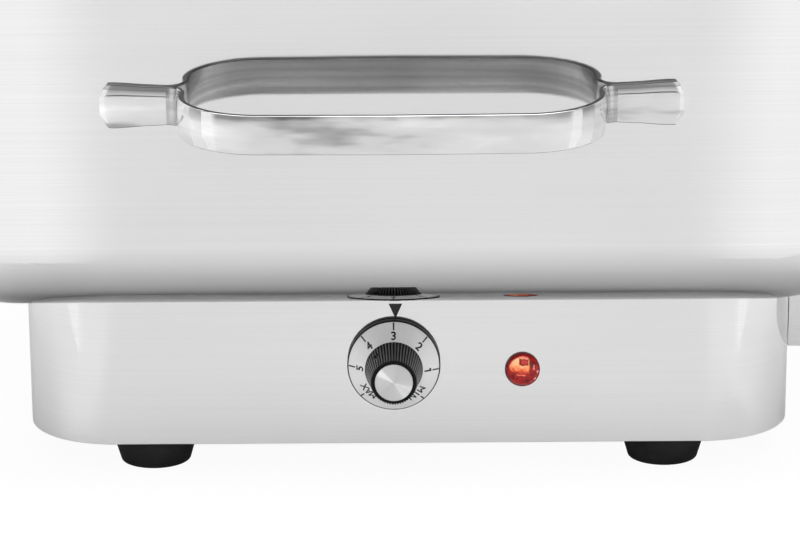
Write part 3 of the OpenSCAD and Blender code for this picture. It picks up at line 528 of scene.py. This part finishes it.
handle_l, grip_l = 256 * mm, 186 * mm
handle_down = 61 * mm
for end, name in ((-1, "end_handle_front"), (1, "end_handle_rear")):
    bm = bmesh.new()
    strap_handle(bm, handle_l, grip_l)
    seat = Matrix.Translation((pan_middle.x, end * mouth_l / 2, pan_high.z))
    lean = Matrix.Rotation(-end * pan_lean, 4, "X")
    drop = Matrix.Translation((0, 0, -handle_down))
    face = Matrix.Rotation(math.pi if end < 0 else 0, 4, "Z")
    bmesh.ops.transform(bm, verts=bm.verts, matrix=seat @ lean @ drop @ face)
    piece(name + "_strap", bm, strap_finishes, "chassis", "polished_steel", name)


# Pan frame and food pan
# A satin steel frame lies on the water pan's rim, and a full-size food pan of drawn steel hangs
# in it by its flat lip.

dress(satin, "pan_frame")
food_low, food_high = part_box("food_pan")
food_corner = 46 * mm
food_lip = 13 * mm
food_turn = 20 * mm
food_lean = math.radians(3)
food_tall = food_high.z - food_low.z
food_w, food_l = food_high.x - food_low.x, food_high.y - food_low.y
food_in = (food_tall - food_turn * (1 - math.sin(food_lean))) * math.tan(food_lean)
food_hub = (-food_lip - food_in - food_turn * math.cos(food_lean), food_turn)
food_inner = food_turn - sheet
lip_end, brow = 0.4 * mm, 3 * mm
bm = bmesh.new()
last = draw(bm, (food_hub[0], 0))
last = curve(bm, last, food_hub, food_lean - quarter, 24)
last = line(bm, last, (-food_lip, food_tall - sheet))
last = line(bm, last, (-lip_end, food_tall - sheet))
last = curve(bm, last, (-sheet / 2, food_tall - sheet / 2), -math.pi, 10)
last = line(bm, last, (-food_lip - sheet + brow, food_tall))
last = curve(bm, last, (-food_lip - sheet + brow, food_tall - brow), food_lean - quarter, 10)
last = line(
    bm, last,
    (food_hub[0] + food_inner * math.cos(food_lean), food_turn - food_inner * math.sin(food_lean)))
curve(bm, last, food_hub, quarter - food_lean, 24)
sweep(bm, Vector(((food_low.x + food_high.x) / 2, 0, food_low.z)), food_w, food_l, food_corner)
bmesh.ops.holes_fill(bm, edges=bm.edges[:], sides=0)
piece("food_pan_steel", bm, [satin], "chassis", "satin_steel", "food_pan")


# Heater and wiring places
# A tubular element, darkened by heat, is clamped under the pan's floor with a bright shield
# below it. The thermostat, the cut-out and the terminal block are pale moulded plastic.

def heated_steel():
    dark, place = new_finish("heated_steel", {"Metallic": 1.0})
    stain = noise(place, 40.0, 5.0)
    tones(stain, (0.35, (0.10, 0.09, 0.09, 1)), (0.65, (0.24, 0.20, 0.16, 1))).into("Base Color")
    (stain * 0.3 + 0.35).into("Roughness")
    return dark


def moulded(name, light, dark, gloss, shine):
    """Moulded plastic with a fine even texture."""
    plastic, place = new_finish(name, {"Specular IOR Level": shine})
    mottle = noise(place, 120.0, 3.0)
    tones(mottle, (0.35, dark), (0.65, light)).into("Base Color")
    (mottle * 0.12 + gloss).into("Roughness")
    dents(noise(place, 2600.0, 1.0), 0.12, 0.05 * mm)
    return plastic


def yellow_metal():
    brass, place = new_finish("brass", {"Metallic": 1.0})
    tarnish = noise(place, 150.0, 4.0)
    tones(tarnish, (0.35, (0.55, 0.36, 0.18, 1)), (0.65, (0.80, 0.58, 0.34, 1))).into("Base Color")
    (tarnish * 0.25 + 0.2).into("Roughness")
    return brass


pale_plastic = moulded(
    "pale_plastic", light=(0.80, 0.76, 0.66, 1), dark=(0.74, 0.70, 0.60, 1), gloss=0.4, shine=0.5)
black_plastic = moulded(
    "black_plastic", light=(0.010, 0.010, 0.011, 1), dark=(0.005, 0.005, 0.006, 1), gloss=0.34, shine=0.15)
brass = yellow_metal()
dress(heated_steel(), "heating_element")
dress(satin, "element_clamps", "heat_shield", "bulb_clip")
dress(zinc, "clamp_nuts", "thermostat_screws", "pilot_nut")
dress(pale_plastic, "thermostat_body", "overheat_cutout", "terminal_block")
dress(brass, "sensor_bulb", "capillary_tube", "earth_stud")


# Pilot lamp
# A clear red lens with facets moulded into its inside, in a dark holder that passes through the
# housing. The small lamp that lights it from behind is not built: the lens itself glows, and its
# glow, with glints and shade on the facets, is painted into its emission.

lens_low, lens_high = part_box("pilot_lens")
lens_r = (lens_high.x - lens_low.x) / 2
lens_hub = Vector(((lens_low.x + lens_high.x) / 2, lens_high.y, (lens_low.z + lens_high.z) / 2))
lens_tall = lens_high.y - lens_low.y
outwards = Matrix.Rotation(quarter, 4, "X")


def patch(value, low, high, soft):
    """One between two values, with soft ends, and zero elsewhere."""
    rise = fade(value, low - soft, low + soft, "SMOOTHSTEP")
    fall = fade(value, high - soft, high + soft, "SMOOTHSTEP")
    return rise * (1 - fall)


def distance(across, up):
    """Distance from the middle of a round piece."""
    return across.node("Math", {"operation": "SQRT"}, {0: across * across + up * up})


def lens_with_painted_glow():
    lens, place = new_finish(
        "red_lens", {"Roughness": 0.09, "IOR": 1.5, "Specular IOR Level": 0.3, "Coat Weight": 0.1,
                     "Base Color": (0.12, 0.003, 0.003, 1), "Emission Strength": 1.0})
    centred = place.node("VectorMath", {"operation": "SUBTRACT"}, {0: place, 1: lens_hub}, "Vector")
    unit = place.node("VectorMath", {"operation": "SCALE"}, {0: centred, "Scale": 1 / lens_r}, "Vector")
    across, up = coordinate(unit, "X"), coordinate(unit, "Z")
    wobble = (noise(place, 520.0, 3.0) - 0.5) * 0.22
    right, high = across + wobble, up + across * 0.1 + wobble
    radius = distance(across, up)
    cloud = noise(place, 330.0, 4.0)
    # painted glow: the rest of the lens glows a dim, cloudy red in its emission
    deep_red = mix(patch(cloud, 0.40, 0.58, 0.08), (0.06, 0.003, 0.004, 1), (0.27, 0.008, 0.008, 1))
    # painted glow: the bulb's light is painted into the emission as a peach patch
    bulb = patch(right, -0.76, 0.36, 0.06) * patch(high, -0.04, 0.86, 0.08) * patch(radius, -1, 0.80, 0.05)
    glow = tones(
        high + 0.24 + wobble * 2, (0.25, (0.62, 0.07, 0.02, 1)), (0.45, (0.95, 0.32, 0.13, 1)),
        (0.62, (0.92, 0.50, 0.24, 1)), (0.9, (1.0, 0.62, 0.32, 1)))
    colour = mix(bulb, deep_red, glow)
    # painted glints and painted shade: light and dark patches in the emission where the facets catch or
    # lose light
    painted_glints_and_shade = (
        ((-0.20, 0.33), (0.39, 0.72), (0.20, 0.004, 0.004, 1)),
        ((-0.10, 0.28), (0.47, 0.65), (0.46, 0.055, 0.05, 1)),
        ((-0.17, 0.33), (0.73, 0.83), (0.92, 0.26, 0.20, 1)),
        ((-0.34, 0.16), (-0.20, -0.14), (0.95, 0.22, 0.12, 1)),
        ((-0.62, -0.46), (-0.50, -0.22), (0.05, 0.002, 0.002, 1)),
        ((0.12, 0.38), (-0.68, -0.42), (0.05, 0.002, 0.003, 1)),
        ((0.58, 0.67), (0.12, 0.40), (0.80, 0.22, 0.16, 1)),
        ((0.82, 0.92), (-0.08, 0.08), (0.92, 0.32, 0.36, 1)),
        ((0.66, 0.80), (-0.48, -0.38), (0.90, 0.42, 0.36, 1)),
        ((-0.97, -0.90), (-0.02, 0.34), (0.85, 0.46, 0.46, 1)),
    )
    for (left, end), (low, top), tint in painted_glints_and_shade:
        colour = mix(patch(right, left, end, 0.03) * patch(high, low, top, 0.03), colour, tint)
    # the emission is left dark round the rim
    mix(patch(radius, 0.91, 1.2, 0.05), colour, (0.02, 0.001, 0.002, 1)).into("Emission Color")
    dents(wobble, 0.1, 0.2 * mm)
    return lens


rim_t, ledge, lens_back = 1.0 * mm, 0.4 * mm, 0.1 * mm
dome_w, dome_t = lens_r - ledge, lens_tall - rim_t
ball = (dome_w ** 2 + dome_t ** 2) / (2 * dome_t)
bm = bmesh.new()
last = draw(bm, (0, lens_back))
last = line(bm, last, (lens_r, lens_back))
last = line(bm, last, (lens_r, rim_t))
last = line(bm, last, (dome_w, rim_t))
curve(bm, last, (0, lens_tall - ball), -math.asin(dome_w / ball), 24)
turned(bm, 96)
bmesh.ops.transform(bm, verts=bm.verts, matrix=Matrix.Translation(lens_hub) @ outwards)
piece("pilot_lens_red", bm, [lens_with_painted_glow()], "chassis", "red_lens", "pilot_lens")
dress(black_plastic, "pilot_body")


# Index mark
# A black triangle printed on the housing above the dial, in a film of ink that is a little worn.
# It points down at the setting.

def black_print():
    ink, place = new_finish("black_print", {})
    wear = noise(place, 900.0, 3.0)
    greys(wear, (0.35, 0.008), (0.75, 0.03)).into("Base Color")
    (0.45 + wear * 0.15).into("Roughness")
    return ink


ink = black_print()
skirt_low, skirt_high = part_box("knob_grip")
dial_hub = Vector(((skirt_low.x + skirt_high.x) / 2, base_low.y, (skirt_low.z + skirt_high.z) / 2))
ink_t = 0.06 * mm
mark_side, mark_top = 6.3 * mm, 28.5 * mm
mark_tall, mark_right = 1.3, 0.9 * mm


def thick_ink(bm):
    """Gives a flat print the thickness of its ink."""
    raised = bmesh.ops.extrude_face_region(bm, geom=bm.faces[:])["geom"]
    bmesh.ops.translate(bm, verts=only(bmesh.types.BMVert, raised), vec=(0, 0, ink_t))


bm = bmesh.new()
bmesh.ops.create_circle(bm, cap_ends=True, segments=3, radius=mark_side / math.sqrt(3))
bmesh.ops.scale(bm, verts=bm.verts, vec=(1, mark_tall, 1))
bmesh.ops.rotate(bm, verts=bm.verts, matrix=Matrix.Rotation(math.pi, 3, "Z"))
highest = max(vert.co.y for vert in bm.verts)
bmesh.ops.translate(bm, verts=bm.verts, vec=(mark_right, mark_top - highest, 0))
thick_ink(bm)
bmesh.ops.transform(bm, verts=bm.verts, matrix=Matrix.Translation(dial_hub) @ outwards)
piece("index_mark", bm, [ink], "chassis", "black_plastic")


# Thermostat knob
# A black moulded knob with fine ribs and a round skirt, a cone of spun aluminium for its scale
# and a turned aluminium cap. A set screw holds it on the thermostat's shaft.

dial_low, dial_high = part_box("dial_plate")
cap_low, cap_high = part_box("knob_cap")
skirt_r = (skirt_high.x - skirt_low.x) / 2
dial_r = (dial_high.x - dial_low.x) / 2
cap_r = (cap_high.x - cap_low.x) / 2
skirt_back = base_low.y - skirt_high.y
grip_top = base_low.y - skirt_low.y
dial_foot = base_low.y - dial_high.y
dial_top = base_low.y - dial_low.y
cap_top = base_low.y - cap_low.y
grip_r, grip_end_r = 13.25 * mm, 10.5 * mm
dial_t = 0.6 * mm
skirt_wall, skirt_round = 1.6 * mm, 0.3 * mm
hollow = dial_foot - skirt_wall
hollow_r = skirt_r - skirt_wall
on_dial = Matrix.Translation(dial_hub) @ outwards

bm = bmesh.new()
outline(
    bm,
    [(0, hollow), (hollow_r, hollow), (hollow_r, skirt_back), (skirt_r, skirt_back), (skirt_r, dial_foot),
     (dial_r, dial_foot), (grip_r, dial_top - dial_t), (0, dial_top - dial_t)],
    [0, 0, 0, skirt_round, skirt_round, 0, 0, 0])
turned(bm, 128)
bmesh.ops.transform(bm, verts=bm.verts, matrix=on_dial)
piece("knob_skirt", bm, [black_plastic], "dial", "black_plastic")


def raise_face(bm, face, up, shrink):
    """Extrudes an end face upwards, shrinks it about the axis and gives it back."""
    made = bmesh.ops.extrude_face_region(bm, geom=[face])["geom"]
    ends = only(bmesh.types.BMVert, made)
    bmesh.ops.translate(bm, verts=ends, vec=(0, 0, up))
    bmesh.ops.scale(bm, verts=ends, vec=(shrink, shrink, 1))
    bmesh.ops.delete(bm, geom=[face], context="FACES_ONLY")
    return only(bmesh.types.BMFace, made)[0]


def round_dial(place):
    """Distance from the dial's axis and angle about it."""
    centred = place.node("Mapping", {}, {"Vector": place, "Location": -dial_hub})
    across, up = coordinate(centred, "X"), coordinate(centred, "Z")
    return distance(across, up), place.math("ARCTAN2", up, across)


def cosine(angle):
    return angle.node("Math", {"operation": "COSINE"}, {0: angle})


ribs = 54
rib_deep = 0.8 * mm


def ribbed_plastic():
    """Black plastic: painted highlight on the rib crests, painted shade between; the crests are glossier.
    """
    plastic, place = new_finish("ribbed_plastic", {"Specular IOR Level": 0.2, "Coat Roughness": 0.2})
    angle = round_dial(place)[1]
    side = fade(coordinate(place, "Y") - skirt_low.y, 0.2 * mm, 0.6 * mm)
    crest_painted_highlight = (cosine(angle * ribs) * 0.5 + 0.5) * side
    wear = noise(place, 900.0, 2.0)
    # painted highlight: the rib crests are lighter in colour, and the valleys black as painted shade
    greys(crest_painted_highlight * 0.8 + wear * 0.2, (0.35, 0.002), (0.9, 0.12)).into("Base Color")
    (0.75 - crest_painted_highlight * 0.45).into("Roughness")
    (crest_painted_highlight * crest_painted_highlight).into("Coat Weight")
    return plastic


grip_foot = dial_top - 1.5 * mm
end_round, end_ease, end_flat = 0.5 * mm, 0.985, 0.97
smooth_r = grip_end_r - rib_deep
cap_gap, cap_seat = 0.1 * mm, 0.7 * mm
bm = bmesh.new()
bmesh.ops.create_circle(bm, cap_ends=True, segments=8 * ribs, radius=grip_r)
for vert in bm.verts:
    wave = 0.5 - 0.5 * math.cos(math.atan2(vert.co.y, vert.co.x) * ribs)
    vert.co.xy *= 1 - rib_deep / grip_r * wave ** 2.5
bmesh.ops.translate(bm, verts=bm.verts, vec=(0, 0, grip_foot))
end = raise_face(bm, bm.faces[:][0], grip_top - grip_foot - end_round, grip_end_r / grip_r)
end = raise_face(bm, end, 0.6 * end_round, end_ease)
for vert in end.verts:
    vert.co.xy = vert.co.xy.normalized() * smooth_r
end = raise_face(bm, end, 0.4 * end_round, end_flat)
end = raise_face(bm, end, 0, (cap_r + cap_gap) / (end_flat * smooth_r))
raise_face(bm, end, -cap_seat, 1)
bmesh.ops.holes_fill(bm, edges=bm.edges[:], sides=0)
bmesh.ops.transform(bm, verts=bm.verts, matrix=on_dial)
grip = piece("knob_ribbed_grip", bm, [ribbed_plastic()], "dial", "black_plastic", "knob_grip")

hole_up, hole_angle = 18.2 * mm, math.radians(132)
hole_r, hole_deep, hole_out = 2.0 * mm, 8 * mm, grip_end_r + 0.5 * mm
bm = bmesh.new()
bmesh.ops.create_cone(bm, cap_ends=True, segments=32, radius1=hole_r, radius2=hole_r, depth=hole_deep)
swing = Matrix.Rotation(hole_angle, 4, "Z") @ Matrix.Rotation(quarter, 4, "Y")
reach = Matrix.Translation((0, 0, hole_up)) @ swing @ Matrix.Translation((0, 0, hole_out))
bmesh.ops.transform(bm, verts=bm.verts, matrix=on_dial @ reach)
drill = placed("set_screw_hole", bm)
cut = grip.modifiers.new("set_screw_hole", "BOOLEAN")
cut.operation = "DIFFERENCE"
cut.solver = "EXACT"
cut.object = drill
drilled = bpy.data.meshes.new_from_object(grip.evaluated_get(bpy.context.evaluated_depsgraph_get()))
grip.modifiers.clear()
grip.data = drilled
bpy.data.objects.remove(drill)


def spun_aluminium(name, metal, gloss, tilt, *shades):
    """Turned aluminium: rings of fine grooves, and a painted highlight for the fan of light they throw."""
    spun, place = new_finish(name, {"Metallic": metal})
    radius, angle = round_dial(place)
    # painted highlight: bright and dark wedges in the colour about the axis, turned by tilt
    painted_fan = cosine((angle - math.radians(tilt)) * 2)
    finer_painted_wedges = cosine(angle * 7 + 1.3)
    rings = place.node(
        "TexNoise", {"noise_dimensions": "1D"}, {"W": radius * 5200, "Scale": 1.0, "Detail": 2.0}, "Fac")
    greys(painted_fan * 0.4 + finer_painted_wedges * 0.06 + rings * 0.2 + 0.4, *shades).into("Base Color")
    (rings * 0.12 + gloss).into("Roughness")
    dents(rings, 0.15, 0.02 * mm)
    return spun


# tilt sets where the painted fan of light falls on the dial and on the cap
spun_dial = spun_aluminium("spun_dial", 0.1, 0.34, 8, (0.1, 0.88), (0.6, 0.93), (0.9, 1.0))
spun_cap = spun_aluminium("spun_cap", 0.6, 0.26, -36, (0.1, 0.56), (0.8, 0.64), (0.93, 0.92))
dial_in, dial_round = grip_r + 0.05 * mm, 0.25 * mm
bm = bmesh.new()
outline(
    bm,
    [(dial_r, dial_foot), (dial_r, dial_foot + dial_t), (dial_in, dial_top), (dial_in, dial_top - dial_t)],
    [0, dial_round, 0, 0])
turned(bm, 160)
bmesh.ops.transform(bm, verts=bm.verts, matrix=on_dial)
piece("dial_cone", bm, [spun_dial], "dial", "aluminium", "dial_plate")

cap_back, cap_edge = cap_top - 0.9 * mm, cap_top - 0.1 * mm
cap_flat_r, cap_round = 0.9 * cap_r, 0.2 * mm
bm = bmesh.new()
outline(
    bm, [(0, cap_back), (cap_r, cap_back), (cap_r, cap_edge), (cap_flat_r, cap_top), (0, cap_top)],
    [0, 0, cap_round, 0, 0])
turned(bm, 96)
bmesh.ops.transform(bm, verts=bm.verts, matrix=on_dial)
piece("cap_turned", bm, [spun_cap], "dial", "aluminium", "knob_cap")
dress(zinc, "grub_screw", "thermostat_shaft")


# Scale of the dial
# Lines, numbers and the words MIN and MAX, printed in black on the aluminium cone. Their tops
# point outwards, and they turn with the knob.

cone_slope = (dial_top - dial_foot - dial_t) / (dial_r - grip_r)


def on_cone(bm, angle, radius):
    """Wraps a flat mesh, drawn to the right and outwards, on to the dial's cone."""
    for vert in bm.verts:
        turned_to = angle - vert.co.x / radius
        out = radius + vert.co.y
        rise = dial_foot + dial_t + (dial_r - out) * cone_slope + vert.co.z
        vert.co = (out * math.cos(turned_to), out * math.sin(turned_to), rise)
    bmesh.ops.transform(bm, verts=bm.verts, matrix=on_dial)


def letter(bm, text, size, wide, across):
    """A flat printed letter, centred and moved across, with the thickness of the ink."""
    ink_rise = 0.6 * mm
    words = bpy.data.curves.new("letter", "FONT")
    words.body = text
    words.size = size / mm
    words.align_x = "CENTER"
    words.align_y = "CENTER"
    words.bevel_depth = stroke / mm
    words.bevel_resolution = 1
    words.resolution_u = 6
    shown = bpy.data.objects.new("letter", words)
    mesh = shown.to_mesh()
    mesh.transform(Matrix.Translation((across, 0, 0)) @ Matrix.Diagonal((wide * mm, mm, ink_rise, 1)))
    bm.from_mesh(mesh)
    shown.to_mesh_clear()
    bpy.data.objects.remove(shown)
    bpy.data.curves.remove(words)
    bmesh.ops.remove_doubles(bm, verts=bm.verts, dist=same_place)


tick_out, tick_w = 20.8 * mm, 0.65 * mm
number_tick, word_tick = 3.0 * mm, 2.1 * mm
number_r, number_size, number_wide = 15.5 * mm, 4.4 * mm, 1.2
word_r, word_size, word_wide, word_step = 15.9 * mm, 4.6 * mm, 0.92, 2.75 * mm
stroke, flag = 0.14 * mm, 0.75 * mm
settings = {"MIN": -49, "1": -4, "2": 42, "3": 90, "4": 136, "5": 179, "MAX": 223}
for text, degrees in settings.items():
    angle = math.radians(degrees)
    tick, size, wide, radius = number_tick, number_size, number_wide, number_r
    if len(text) > 1:
        tick, size, wide, radius = word_tick, word_size, word_wide, word_r
    bm = bmesh.new()
    bmesh.ops.create_grid(bm, x_segments=1, y_segments=4, size=0.5)
    bmesh.ops.scale(bm, verts=bm.verts, vec=(tick_w, tick, 1))
    thick_ink(bm)
    on_cone(bm, angle, tick_out - tick / 2)
    piece("tick_" + text, bm, [ink], "dial", "black_plastic")
    bm = bmesh.new()
    for i, sign in enumerate(text):
        letter(bm, sign, size, wide, (i - (len(text) - 1) / 2) * word_step)
    if text == "1":
        flag_stroke = "\u00b4"
        letter(bm, flag_stroke, size, wide, -flag)
    on_cone(bm, angle, radius)
    piece("scale_" + text, bm, [ink], "dial", "black_plastic")


# Cord gland
# A gland of black moulded plastic for the power cord, passed through the rear wall and held by
# a nut inside the housing.

dress(black_plastic, "cord_gland", "gland_nut")


# Hinges
# Two satin steel brackets, bolted to the housing's back on spacers, carry the hinge pins. Thin
# brass washers keep the arms off the brackets, and stop pins end the swing.

dress(satin, "hinge_bracket_front", "hinge_bracket_rear", "hinge_arm_front", "hinge_arm_rear")
dress(zinc, "bracket_bolts", "bracket_spacers", "bracket_nuts")
dress(zinc, "hinge_pins", "pin_clips", "stop_pins", "hinge_rivets")
dress(brass, "hinge_washers")


# Lid
# Drawn from one sheet: a leaning wall with a rolled hem, a shoulder, and a raised crown. The
# strap handle is welded to its serving side.

lid_low, lid_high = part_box("lid_shell")
hem = 2.4 * mm
hem_out = 2 * hem - sheet
lid_lean = math.radians(6)
lid_shoulder, lid_turn = 46 * mm, 12 * mm
lid_ledge, lid_cove, lid_top_turn = 10 * mm, 6 * mm, 14 * mm
lid_corner = 60 * mm
lid_tall = lid_high.z - lid_low.z
lid_w = lid_high.x - lid_low.x - 2 * hem_out
lid_l = lid_high.y - lid_low.y - 2 * hem_out
lid_middle = Vector(((lid_low.x + lid_high.x) / 2, 0, lid_low.z))
wall_tall = lid_shoulder - lid_turn * (1 - math.sin(lid_lean))
ledge_in = wall_tall * math.tan(lid_lean) + lid_turn * math.cos(lid_lean)
cove_in = ledge_in + lid_ledge
crown_in = cove_in + lid_cove + lid_top_turn
hem_hub = (hem - sheet, hem)
meet = math.radians(143)
shoulder_hub = (-ledge_in, lid_shoulder - lid_turn)
cove_hub = (-cove_in, lid_shoulder + lid_cove)
crown_hub = (-crown_in, lid_tall - lid_top_turn)
bm = bmesh.new()
last = draw(bm, (-crown_in, lid_tall))
last = curve(bm, last, crown_hub, quarter, 16)
last = line(bm, last, (-cove_in - lid_cove, lid_shoulder + lid_cove))
last = curve(bm, last, cove_hub, -quarter, 12)
last = line(bm, last, (-ledge_in, lid_shoulder))
last = curve(bm, last, shoulder_hub, quarter - lid_lean, 16)
last = line(bm, last, (hem_hub[0] + hem * math.cos(meet), hem_hub[1] + hem * math.sin(meet)))
last = curve(bm, last, hem_hub, meet + math.pi, 28)
inner = lid_turn - sheet
last = line(
    bm, last, (shoulder_hub[0] + inner * math.cos(lid_lean), shoulder_hub[1] + inner * math.sin(lid_lean)))
last = curve(bm, last, shoulder_hub, lid_lean - quarter, 16)
last = line(bm, last, (-cove_in, lid_shoulder - sheet))
last = curve(bm, last, cove_hub, quarter, 12)
last = line(bm, last, (-cove_in - lid_cove - sheet, lid_tall - lid_top_turn))
curve(bm, last, crown_hub, -quarter, 16)
sweep(bm, lid_middle, lid_w, lid_l, lid_corner)
bmesh.ops.holes_fill(bm, edges=bm.edges[:], sides=0)
piece("lid_steel", bm, [polished], "lid", "polished_steel", "lid_shell")

lid_handle_l, lid_grip_l = 196 * mm, 120 * mm
lid_grip_up = 22 * mm
bm = bmesh.new()
strap_handle(bm, lid_handle_l, lid_grip_l)
seat = Matrix.Translation((lid_middle.x - lid_w / 2, 0, lid_low.z))
lean = Matrix.Rotation(lid_lean, 4, "Y")
raise_up = Matrix.Translation((0, 0, lid_grip_up))
bmesh.ops.transform(bm, verts=bm.verts, matrix=seat @ lean @ raise_up @ Matrix.Rotation(quarter, 4, "Z"))
piece("lid_handle_strap", bm, strap_finishes, "lid", "polished_steel", "lid_handle")


# Studio
# A white floor under a wide softbox, with a softbox and a strip in front, two boxes behind and
# soft-edged white cards beside the object that only its metal mirrors. The camera stands before
# the control end, above the rim, with a long lens.

white, place = new_finish("white_floor", {"Roughness": 0.9, "Specular IOR Level": 0.0})
paper = noise(place, 3.0)
greys(paper, (0.3, 0.87), (0.7, 0.89)).into("Base Color")
floor_level, floor_share = 1.02, 0.93
seen = place.node("LightPath", {}, {}, "Is Camera Ray")
glow = place.node("Emission", {}, {"Color": (1, 1, 1, 1), "Strength": floor_level}, "Emission")
lit = Tap(white.node_tree, white.node_tree.nodes["Principled BSDF"].outputs["BSDF"])
blend = place.node("MixShader", {}, {"Fac": seen * floor_share, 1: lit, 2: glow})
blend.into("Surface", "Material Output")
bm = bmesh.new()
bmesh.ops.create_grid(bm, x_segments=1, y_segments=1, size=40)
placed("floor", bm, white)

world = bpy.context.scene.world or bpy.data.worlds.new("studio")
bpy.context.scene.world = world
world.use_nodes = True
sky = Tap(world.node_tree, world.node_tree.nodes.new("ShaderNodeTexCoord").outputs["Generated"])
mirrored_share = 0.3
room = greys(coordinate(sky, "Z"), (0.0, 0.75), (0.12, 0.5), (0.32, 0.15), (1.0, 0.15))
seen = sky.node("LightPath", {}, {}, "Is Camera Ray")
mirrored = sky.node("LightPath", {}, {}, "Is Glossy Ray")
mix(seen + mirrored * mirrored_share, room, (1, 1, 1, 1)).into("Color", "Background")
world.node_tree.nodes["Background"].inputs["Strength"].default_value = 1.0


def softbox(name, place, target, width, length, power):
    """A rectangular lamp that faces a target and that the camera doesn't see."""
    lamp = bpy.data.lights.new(name, "AREA")
    lamp.shape = "RECTANGLE"
    lamp.size = width
    lamp.size_y = length
    lamp.energy = power
    made = bpy.data.objects.new(name, lamp)
    made.location = place
    made.rotation_euler = (Vector(target) - Vector(place)).to_track_quat("-Z", "Y").to_euler()
    made.visible_camera = False
    bpy.context.scene.collection.objects.link(made)
    return made


softbox("overhead", (0, -0.8, 2.4), (0, -0.8, 0), 2.6, 2.6, 26)
softbox("front_box", (0, -2.4, 1.2), (0, -0.3, 0.1), 1.2, 1.0, 14).visible_glossy = False
softbox("front_strip", (0, -0.52, 0.95), (0, -0.52, 0), 1.8, 0.3, 5.5)
softbox("left_back_box", (-0.55, 2.2, 1.4), (0, -0.5, 0), 0.5, 0.5, 26)
softbox("right_back_box", (0.55, 2.2, 1.4), (0, -0.5, 0), 0.5, 0.5, 26)
card_y, card_w = -0.40, 0.4
card_soft, card_level = 0.045, 1.15


def white_card(name, side, inner, low, high):
    """A card with a soft inner edge that stands beside the object, only for its metal to mirror."""
    bm = bmesh.new()
    bmesh.ops.create_grid(bm, x_segments=1, y_segments=1, size=0.5)
    bmesh.ops.scale(bm, verts=bm.verts, vec=(card_w, high - low, 1))
    bmesh.ops.rotate(bm, verts=bm.verts, matrix=Matrix.Rotation(quarter, 3, "X"))
    bmesh.ops.translate(bm, verts=bm.verts, vec=(side * (inner + card_w / 2), card_y, (low + high) / 2))
    paper, place = new_finish(name, {})
    edge = fade(coordinate(place, "X") * side, inner, inner + card_soft, "SMOOTHSTEP")
    clear = place.node("BsdfTransparent", {}, {}, "BSDF")
    lit = place.node("Emission", {}, {"Strength": card_level}, "Emission")
    place.node("MixShader", {}, {"Fac": edge, 1: clear, 2: lit}).into("Surface", "Material Output")
    card = placed(name, bm, paper)
    card.visible_camera = False
    card.visible_diffuse = False
    card.visible_shadow = False


white_card("left_card", -1, 0.121, 0.05, 0.3)
white_card("right_card", 1, 0.142, 0.05, 0.3)
white_card("low_left_card", -1, 0.25, 0.0, 0.05)
white_card("low_right_card", 1, 0.27, 0.0, 0.05)

camera = bpy.data.cameras.new("camera")
camera.lens = 137.06
camera.sensor_width = 36
viewer = bpy.data.objects.new("camera", camera)
stand = (0.0074, -1.6257, 0.4688)
swing, dip, roll = math.radians(0.031), math.radians(15.319), math.radians(-0.355)
viewer.matrix_world = (
    Matrix.Translation(stand) @ Matrix.Rotation(-swing, 4, "Z")
    @ Matrix.Rotation(quarter - dip, 4, "X") @ Matrix.Rotation(roll, 4, "Z"))
bpy.context.scene.collection.objects.link(viewer)
bpy.context.scene.camera = viewer
bpy.context.scene.view_settings.view_transform = "Standard"
